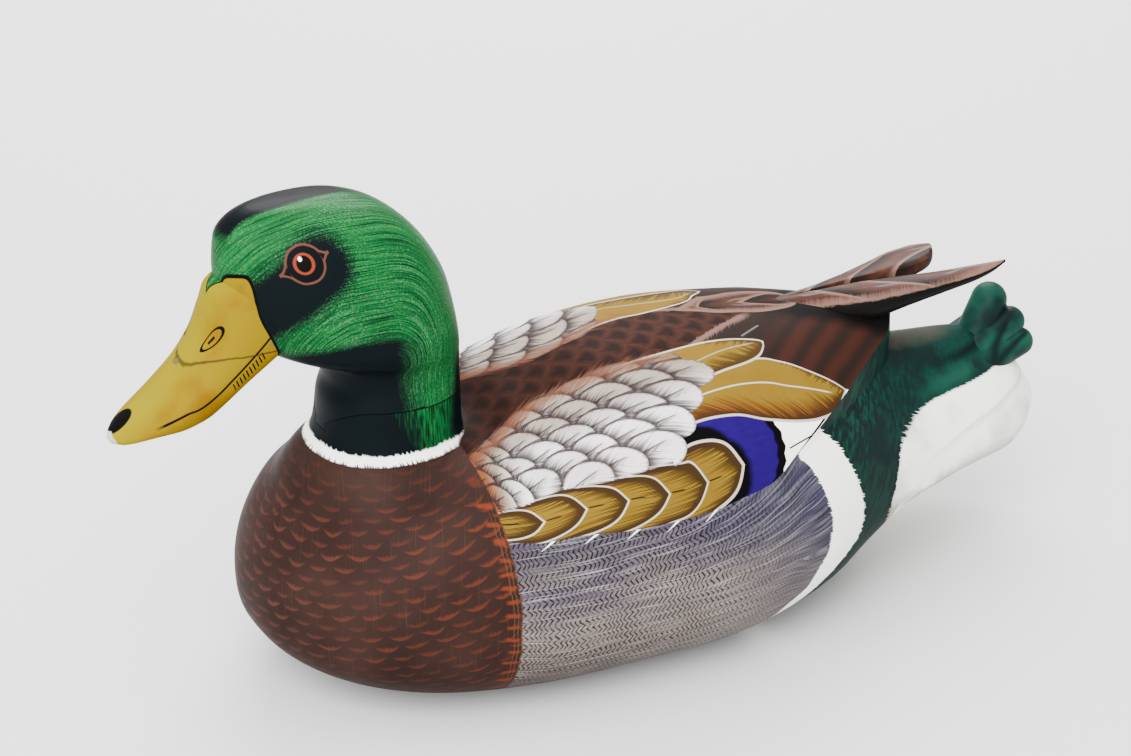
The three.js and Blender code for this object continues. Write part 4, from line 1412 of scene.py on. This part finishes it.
def body_finish():
    """The body's paint: breast, wings, flanks and rump, each with a shader of its own."""
    paint = Finish("body_paint")
    arc = paint.field("arc")
    grain = paint.noise(paint.at(paint.y * 0.15, arc * 0.9), 1)
    wander = paint.noise(paint.place, 16, detail=1) * 1.8 - 0.9
    edge = paint.fringe(paint.y - BREAST_END_Y + wander, paint.z + arc * 0.3, pitch=0.8, reach=0.5)
    on_ring, on_green, on_neck = neck_regions(paint)
    on_breast = paint.highest(paint.ramp(edge, 0.4, -0.4), on_neck)
    below_wing = wing_arc(paint) - paint.curve(paint.y, FEATHERS_END)
    on_feathers = paint.field("winged") * (below_wing < 0)
    hairs = paint.z * 0.9 + paint.y * 0.35
    band_edge = paint.y - paint.curve(paint.z, BAND_FRONT)
    on_flank = paint.ramp(paint.fringe(band_edge, hairs, pitch=0.9, reach=1.6, key=3), 0.3, -0.3)

    breast = breast_end(paint, breast_colour(paint), edge)
    breast = paint.mix(on_green, breast, neck_green(paint))
    breast = paint.mix(on_ring, breast, WHITE)
    feathers = feathers_colour(paint, chevrons(paint))
    flank = paint.mix(hooks(paint, below_wing), flank_colour(paint), WHITE)
    rump = rump_layers(paint, hairs)

    breast_shader = paint.coat(breast, roughness=0.45, height=grain, depth=GRAIN_DEPTH, sheen=0.015)
    feathers_shader = paint.coat(feathers, roughness=0.5, height=grain, depth=GRAIN_DEPTH, sheen=0.01)
    flank_shader = paint.coat(flank, roughness=0.45, height=grain, depth=GRAIN_DEPTH)
    rump_shader = paint.coat(rump, roughness=0.45, height=grain, depth=GRAIN_DEPTH, sheen=0.02)
    lower = paint.shared(on_flank, rump_shader, flank_shader)
    rest = paint.shared(on_feathers, lower, feathers_shader)
    return paint.done(paint.shared(on_breast, rest, breast_shader))


# The head. On its sides a place is given as (y, z), and on the bill as the distance down it and the rise
# square to that.

BILL_YELLOW = pigment(220, 184, 0)
BILL_HIGHLIGHT = pigment(236, 216, 0)
BILL_ORANGE = pigment(204, 148, 0)
IRIS = pigment(222, 92, 60)
LID = pigment(156, 98, 78)
CAP_DARK = pigment(24, 30, 36)
CHIP = pigment(236, 226, 206)
CHIP_TAN = pigment(176, 156, 96)

EYE = (-131.9, 190.6)
EYE_RADIUS = 3.9
PUPIL_RADIUS = (2.7, 3.0)
EYE_GLINT = (-133.1, 192.4)
LID_CENTRE = (-131.4, 190.3)
LID_TILT = 22  # degrees
LID_RADIUS = 6.9
LID_CORNERS = (9.6, 9.3)  # ahead of the middle and behind it
LID_CORNER_START = 5.9  # how far from the middle the pointed corners begin
GLINT_RADIUS = (0.7, 0.85)
PATCH_START = (-146, 172)  # the dark patch runs from here through the eye
PATCH_RUN = (0.768, 0.64)
PATCH_LENGTH = 26
PATCH_HALF = 11.8
FACE_LINE = [  # (rise, distance down the bill)
    (-6, 5.2), (-0.1, 3.6), (5.4, 2.4), (11.8, 0.8), (17.2, -2.1), (22.1, -4.6), (26.2, -6.5), (30, -9),
]
FACE_LINE_HALF = (0.66, 0.42)  # outer and inner half width of the black line there
FACE_NOTCH = [  # (distance from the middle, same)
    (0, 8.2), (2.2, 5), (5.7, 0.6), (11.9, -3.6), (15.5, -6.5), (18, -9),
]
CRACK = [  # (y, z)
    (-176, 146.5), (-175.2, 147.7), (-173.3, 150.4), (-162.7, 155), (-153.3, 155.6), (-145, 156),
]
NOSTRIL = (19.1, 11.1)  # distance down the bill, distance from its middle
NOSTRIL_RUN = (0.426, 0.905)  # which way it runs
NOSTRIL_RADII = (6.1, 2.3)
MOUTH_LINE = [  # (distance down the bill, rise)
    (2, 4.6), (11.3, 3.1), (23.9, 1.7), (34.4, 1.2), (45.2, 3.5), (57.4, 6),
]
MOUTH_TICK = 0.88  # from a tick of the mouth's comb to the gap beside it
LOST_PAINT = (-2.5, -174.6)  # (x, y)
EDGE_CHIP = (4.2, 2.2)
NAIL = 65.6  # distance down the bill of its middle
NAIL_X = -3
NAIL_SPREAD = (44, 34)  # the squares of its half sizes, down the bill and across it
WORN_TIP = 69.7  # bare wood past this distance down the bill
CHEEK_LINE = [(-145, 149), (-140, 150.5), (-125, 155), (-108, 157.5), (-94, 156), (-88, 150)]  # (y, z)
STREAK_CENTRE = (-106, 120)
STREAK_STEEPNESS = 1.9  # behind that centre, towards the nape
CAP_MIDDLE = -5  # x
CAP_HALF = 11.5
NICK = (-88, 121.5)
NICK_RADII = (5, 1.4)


def disc(centre, radii, a, b):
    """Distance from a centre, as a share of the radii."""
    return (((a - centre[0]) / radii[0]) ** 2 + ((b - centre[1]) / radii[1]) ** 2) ** 0.5


def eye_layers(paint, base):
    """The painted eye: a dark lid patch with a tan line round it, the iris, the pupil and a glint."""
    y, z = paint.y, paint.z
    tilt = math.radians(LID_TILT)
    a = (y - LID_CENTRE[0]) * math.cos(tilt) + (z - LID_CENTRE[1]) * math.sin(tilt)
    b = (z - LID_CENTRE[1]) * math.cos(tilt) - (y - LID_CENTRE[0]) * math.sin(tilt)
    corner = paint.choose(a > 0, LID_CORNERS[0], LID_CORNERS[1])
    room = paint.highest(corner - abs(a), 0)
    wedge = paint.highest(abs(b) - room**1.4 * 0.5, abs(a) - corner, LID_CORNER_START - abs(a)) * 0.8
    outside = paint.lowest((a**2 + b**2) ** 0.5 - LID_RADIUS, wedge)
    outside = outside + paint.noise(paint.place, 4, detail=1) * 0.4 - 0.2
    on_side = paint.ramp(paint.x, 8, 12)
    colour = paint.mix(paint.ramp(outside, 0.1, -0.1) * on_side, base, CAP_DARK)
    colour = paint.mix(paint.line(outside, 0.52, 0.34) * on_side, colour, LID)
    iris = disc(EYE, (EYE_RADIUS, EYE_RADIUS), y, z)
    colour = paint.mix(paint.ramp(iris, 1.03, 0.97) * on_side, colour, IRIS)
    pupil = disc(EYE, PUPIL_RADIUS, y, z)
    colour = paint.mix(paint.ramp(pupil, 1.05, 0.95) * on_side, colour, BLACK)
    glint = disc(EYE_GLINT, GLINT_RADIUS, y, z)
    return paint.mix(paint.ramp(glint, 1.2, 0.8) * on_side, colour, WHITE)


def skull_colour(paint):
    """Long dark and bright green streaks that sweep back from the bill over the cheek."""
    y, z = paint.y, paint.z
    back = y - STREAK_CENTRE[0]
    up = paint.highest(z - STREAK_CENTRE[1], 0.1)
    wave = paint.noise(paint.place, 18, detail=1) * 3
    aside = abs(back) * paint.choose(back > 0, 1, STREAK_STEEPNESS)
    flow = (aside**3 + up**3) ** (1 / 3) - paint.x + wave
    along = paint.math("ARCTAN2", up, back) * 60 - z * 0.5
    hairs = paint.noise(paint.at(flow * 1.5, along * 0.05), 1, detail=3)
    lines = paint.noise(paint.at(flow * 2.3, along * 0.04, 4), 1, detail=1)
    speck = paint.noise(paint.place, 0.7)
    patch = paint.noise(paint.place, 22)
    colour = paint.mix(paint.ramp(hairs + speck * 0.25, 0.42, 0.7), HEAD_DEEP, HEAD_GREEN)
    fleck = paint.ramp(speck * 0.7 + hairs * 0.5 + patch * 0.2, 0.72, 0.86)
    colour = paint.mix(fleck * 0.7, colour, HEAD_LIGHT)
    colour = paint.mix(paint.ramp(lines, 0.56, 0.64) * 0.75, colour, NECK_DARK)
    sponge = speck * 3 - 1.5
    behind_start, above_start = y - PATCH_START[0], z - PATCH_START[1]
    a = behind_start * PATCH_RUN[0] + above_start * PATCH_RUN[1]
    b = above_start * PATCH_RUN[0] - behind_start * PATCH_RUN[1]
    reach = paint.highest(paint.lowest(a, PATCH_LENGTH), 0)
    eye_patch = ((a - reach) ** 2 + b**2) ** 0.5 - PATCH_HALF
    dark = paint.ramp(eye_patch + sponge * 2.2 + hairs * 4, 5.5, -0.5) * paint.ramp(paint.x, 4, 10)
    colour = paint.mix(dark, colour, NECK_DARK)
    cap = abs(paint.across - CAP_MIDDLE) - CAP_HALF + paint.ramp(y, -135, -95) * 7
    top = paint.ramp(cap + sponge * 0.8, 1.2, -0.8) * paint.ramp(z + sponge, 195, 200)
    top = top * paint.ramp(y, -90, -108)
    colour = paint.mix(top, colour, CAP_DARK)
    under = z - paint.curve(y, CHEEK_LINE)
    back_edge = y + z * 0.15 + hairs * 8 + 66
    shade = paint.ramp(under + sponge * 0.8, 3, -1.5) * paint.ramp(back_edge + sponge, 6, -6)
    colour = paint.mix(shade, colour, NECK_DARK)
    colour = paint.mix(nape_dark(paint, hairs) * paint.ramp(z, 156, 150), colour, NECK_DARK)
    nick = disc(NICK, NICK_RADII, y, z + speck * 1.5 - 0.75)
    seam = paint.lowest(nick - 1, (abs(z - SEAM_Z) - 0.9 + speck * 0.7) * 1.5)
    seam = paint.ramp(seam, 0.2, -0.1) * paint.ramp(y, SEAM_BEND_Y, SEAM_BEND_Y + 4)
    colour = paint.mix(seam, colour, BLACK)
    return eye_layers(paint, colour)


def bill_colour(paint, down, rise, face):
    """Yellow and orange, with the mouth and its comb, the nostril, the nail, the crack and lost paint."""
    x = paint.x
    patch = paint.noise(paint.place, 18, detail=3)
    colour = paint.mix(paint.ramp(patch, 0.3, 0.5), BILL_ORANGE, BILL_YELLOW)
    # painted highlight: paler along the top of the bill
    colour = paint.mix(paint.ramp(x, 13, 4) * 0.7, colour, BILL_HIGHLIGHT)
    below = paint.curve(down, MOUTH_LINE) - rise
    # painted shade: more orange below the mouth line
    colour = paint.mix(paint.ramp(below, -2, 3) * 0.4, colour, BILL_ORANGE)
    on_side = paint.ramp(x, 7, 8) * paint.ramp(down, 1, 2.5) * paint.ramp(down, 58, 54)
    colour = paint.mix(paint.line(below, 0.55, 0.3) * on_side, colour, BLACK)
    tick = paint.math("PINGPONG", down - below * 0.25, MOUTH_TICK)
    ticks = paint.ramp(tick, 0.42, 0.24) * paint.line(below - 2.7, 1.7, 1.3)
    ticks = ticks * paint.ramp(down, 8, 9) * paint.ramp(down, 27, 25) * (x > 12)
    colour = paint.mix(ticks, colour, BLACK)
    behind, beside = down - NOSTRIL[0], x - NOSTRIL[1]
    a = beside * NOSTRIL_RUN[0] - behind * NOSTRIL_RUN[1]
    b = (beside * NOSTRIL_RUN[1] + behind * NOSTRIL_RUN[0]) * 1.25
    hole = ((a / NOSTRIL_RADII[0]) ** 2 + (b / NOSTRIL_RADII[1]) ** 2) ** 0.5
    on_top = rise > 9
    colour = paint.mix(paint.line(hole - 1, 0.17, 0.1) * on_top, colour, BLACK)
    slit = paint.highest(abs(a + 0.4) - 1.9, abs(b) - 0.5)
    colour = paint.mix(paint.ramp(slit, 0.15, -0.1) * on_top, colour, BLACK)
    wander = paint.noise(paint.place, 3, detail=3) * 1.6 - 0.8
    off_crack = abs(paint.z - paint.curve(paint.y, CRACK) + wander * 0.5)
    on_left = paint.ramp(paint.across, -9, -7) * paint.ramp(paint.y, -174.5, -174) * paint.ramp(down, 4, 5)
    colour = paint.mix(paint.ramp(off_crack, 0.5, 0.2) * on_left * 0.75, colour, HAIR_BROWN)
    lost = disc(LOST_PAINT, (2.6, 0.8), paint.across, paint.y + wander)
    colour = paint.mix(paint.ramp(lost, 1.2, 0.8) * (rise > 8), colour, CHIP_TAN)
    chip = disc(EDGE_CHIP, (1.5, 0.9), down, rise) + wander * 0.8
    colour = paint.mix(paint.ramp(chip, 1, 0.8) * (paint.across > 8), colour, CHIP_TAN)
    nail = (down - NAIL) ** 2 / NAIL_SPREAD[0] + (paint.across - NAIL_X) ** 2 / NAIL_SPREAD[1]
    nail = nail**0.5
    colour = paint.mix(paint.ramp(nail, 1.04, 0.94) * paint.ramp(rise, 7.2, 8), colour, BLACK)
    worn = down + wander - abs(paint.across + 1) * 0.25
    colour = paint.mix(paint.ramp(worn, WORN_TIP, WORN_TIP + 0.5), colour, CHIP)
    return paint.mix(paint.line(face, *FACE_LINE_HALF), colour, BLACK)


def head_finish():
    """The head's paint: one shader for the bill and one for the rest, with a black line between them."""
    paint = Finish("head_paint")
    slope = math.radians(BILL_SLOPE)
    ahead = BILL_ROOT[0] - paint.y
    up = paint.z - BILL_ROOT[1]
    down = ahead * math.cos(slope) - up * math.sin(slope)
    rise = up * math.cos(slope) + ahead * math.sin(slope)
    face = down - paint.math("SMOOTH_MAX", paint.curve(rise, FACE_LINE), paint.curve(paint.x, FACE_NOTCH), 3)
    face = paint.lowest(face, rise + 12)
    on_bill = paint.ramp(face, -0.1, 0.1)
    grain = paint.noise(paint.place, 1.4, detail=3)
    yellow = bill_colour(paint, down, rise, face)
    bill_shader = paint.coat(yellow, roughness=0.42, height=grain, depth=0.04, sheen=0.008)
    skull = paint.mix(paint.line(face, *FACE_LINE_HALF), skull_colour(paint), BLACK)
    skull_shader = paint.coat(skull, roughness=0.4, height=grain, depth=0.06, sheen=0.02)
    return paint.done(paint.shared(on_bill, skull_shader, bill_shader))


# The folded wing tips and the curled feathers.

BLADE_OUTER = [  # (y, |x|)
    (80, 7.5), (95, 9), (110, 11), (130, 16.5), (150, 20), (165, 21.5), (180, 19.8), (190, 18),
    (198, 16),
]


def blade_finish():
    """Folded feathers on top of the wing tips, and dark sides."""
    paint = Finish("blade_paint")
    hairs = paint.noise(paint.at(paint.y * 0.3, paint.x * 1.4, paint.z), 1)
    across = paint.curve(paint.y, BLADE_OUTER) - paint.x
    colour = fold_colour(paint, across, key=12)
    normal = paint.node("ShaderNodeNewGeometry", {}, {})["Normal"]
    upward = paint.node("ShaderNodeSeparateXYZ", {}, {0: normal})["Z"]
    side = paint.ramp(upward + hairs * 0.25, 0.72, 0.6)
    far = paint.ramp(paint.across, 0, -1) * paint.ramp(upward, -0.5, -0.2) * paint.ramp(paint.y, 174, 168)
    colour = paint.mix(side * (1 - far * 0.8), colour, BLADE_SIDE)
    return paint.done(paint.coat(colour, roughness=0.42, height=hairs, depth=GRAIN_DEPTH))


def curl_finish():
    """Cloudy green with painted shade in the groove where one curl lies on the next."""
    paint = Finish("curl_paint")
    cloud = paint.noise(paint.place, 16)
    upper, middle, lower = (
        disc(feather["end"], (feather["radii"][1],) * 2, paint.y, paint.z) for feather in CURLS
    )
    groove_shade = paint.lowest(abs(upper - middle), abs(middle - lower))
    colour = paint.mix(paint.ramp(cloud, 0.36, 0.6), RUMP_DARK, RUMP_GREEN)
    colour = paint.mix(paint.ramp(cloud, 0.42, 0.64) * 0.7, colour, RUMP_LIGHT)
    # painted shade in the grooves between the curls
    colour = paint.mix(paint.ramp(groove_shade, 0.4, 0.08) * 0.85, colour, NECK_DARK)
    return paint.done(paint.coat(colour, roughness=0.42, height=cloud, depth=GRAIN_DEPTH))


body_material = body_finish()
head_material = head_finish()
body_finishes = [body_material, body_material, body_material, blade_finish(), curl_finish()]
head_finishes = [head_material, head_material]

SHARP_EDGE = 32  # degrees

for piece, finishes in ((body, body_finishes), (head, head_finishes)):
    mesh = piece.data
    for i, finish in enumerate(finishes):
        mesh.materials[i] = finish
    mesh.polygons.foreach_set("use_smooth", np.ones(len(mesh.polygons), bool))
    mesh.set_sharp_from_angle(angle=math.radians(SHARP_EDGE))
    triangles = sum(len(p.vertices) - 2 for p in mesh.polygons)
    print(piece.name, len(mesh.vertices), "vertices", triangles, "triangles")

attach(body, "root")
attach(head, "root")
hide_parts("body")
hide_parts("head")


# Photographer's set.

CAMERA_AZIMUTH = 62  # degrees round from the front
CAMERA_ELEVATION = 25  # degrees up
CAMERA_DISTANCE = 1150
CAMERA_TARGET = (0, -9.0874, 106.9249)
LENS_LENGTH = 89.67
SENSOR_WIDTH = 36
FLOOR_REACH = 6000
FLOOR_GREY = 0.54
FLOOR_ROUGHNESS = 0.9
ROOM_LIGHT = 1.2
SOFT_BOXES = [  # name, place, what it points at, size of its side, watts
    ("sky", (200, -300, 1500), (0, 0, 60), 1600, 34),
    ("window", (-200, -1500, 900), (0, 0, 60), 1000, 9),
    ("front", (1757, -1582, 1847), (0, 0, 60), 2400, 258),
    ("backdrop", (-1300, 700, 1300), (-900, 450, 0), 1400, 95),
]


def paper():
    """The plain floor's finish."""
    material = bpy.data.materials.new("floor_paper")
    material.use_nodes = True
    shader = material.node_tree.nodes["Principled BSDF"]
    shader.inputs["Base Color"].default_value = (FLOOR_GREY, FLOOR_GREY, FLOOR_GREY, 1)
    shader.inputs["Roughness"].default_value = FLOOR_ROUGHNESS
    return material


def aim(thing, target):
    """Turns a camera or a lamp to look at the target."""
    direction = Vector(target) * MM - thing.location
    thing.rotation_mode = "QUATERNION"
    thing.rotation_quaternion = direction.to_track_quat("-Z", "Y")


def soft_box(name, place, target, size, watts):
    """A square of soft light."""
    light = bpy.data.lights.new(name, "AREA")
    light.shape = "SQUARE"
    light.size = size * MM
    light.energy = watts
    lamp = bpy.data.objects.new(name, light)
    lamp.location = Vector(place) * MM
    bpy.context.scene.collection.objects.link(lamp)
    aim(lamp, target)


azimuth = math.radians(CAMERA_AZIMUTH)
elevation = math.radians(CAMERA_ELEVATION)
back = Vector((
    math.sin(azimuth) * math.cos(elevation),
    -math.cos(azimuth) * math.cos(elevation),
    math.sin(elevation),
))
camera = bpy.data.objects.new("camera", bpy.data.cameras.new("camera"))
camera.data.lens = LENS_LENGTH
camera.data.sensor_width = SENSOR_WIDTH
camera.location = (Vector(CAMERA_TARGET) + back * CAMERA_DISTANCE) * MM
bpy.context.scene.collection.objects.link(camera)
aim(camera, CAMERA_TARGET)
bpy.context.scene.camera = camera

far = FLOOR_REACH * MM
floor_mesh = bpy.data.meshes.new("floor")
floor_mesh.from_pydata([(-far, -far, 0), (far, -far, 0), (far, far, 0), (-far, far, 0)], [], [[0, 1, 2, 3]])
floor_mesh.materials.append(paper())
floor = bpy.data.objects.new("floor", floor_mesh)
bpy.context.scene.collection.objects.link(floor)

for box in SOFT_BOXES:
    soft_box(*box)

world = bpy.data.worlds.new("room")
bpy.context.scene.world = world
world.use_nodes = True
glow = world.node_tree.nodes["Background"]
glow.inputs["Color"].default_value = (1, 1, 1, 1)
glow.inputs["Strength"].default_value = ROOM_LIGHT
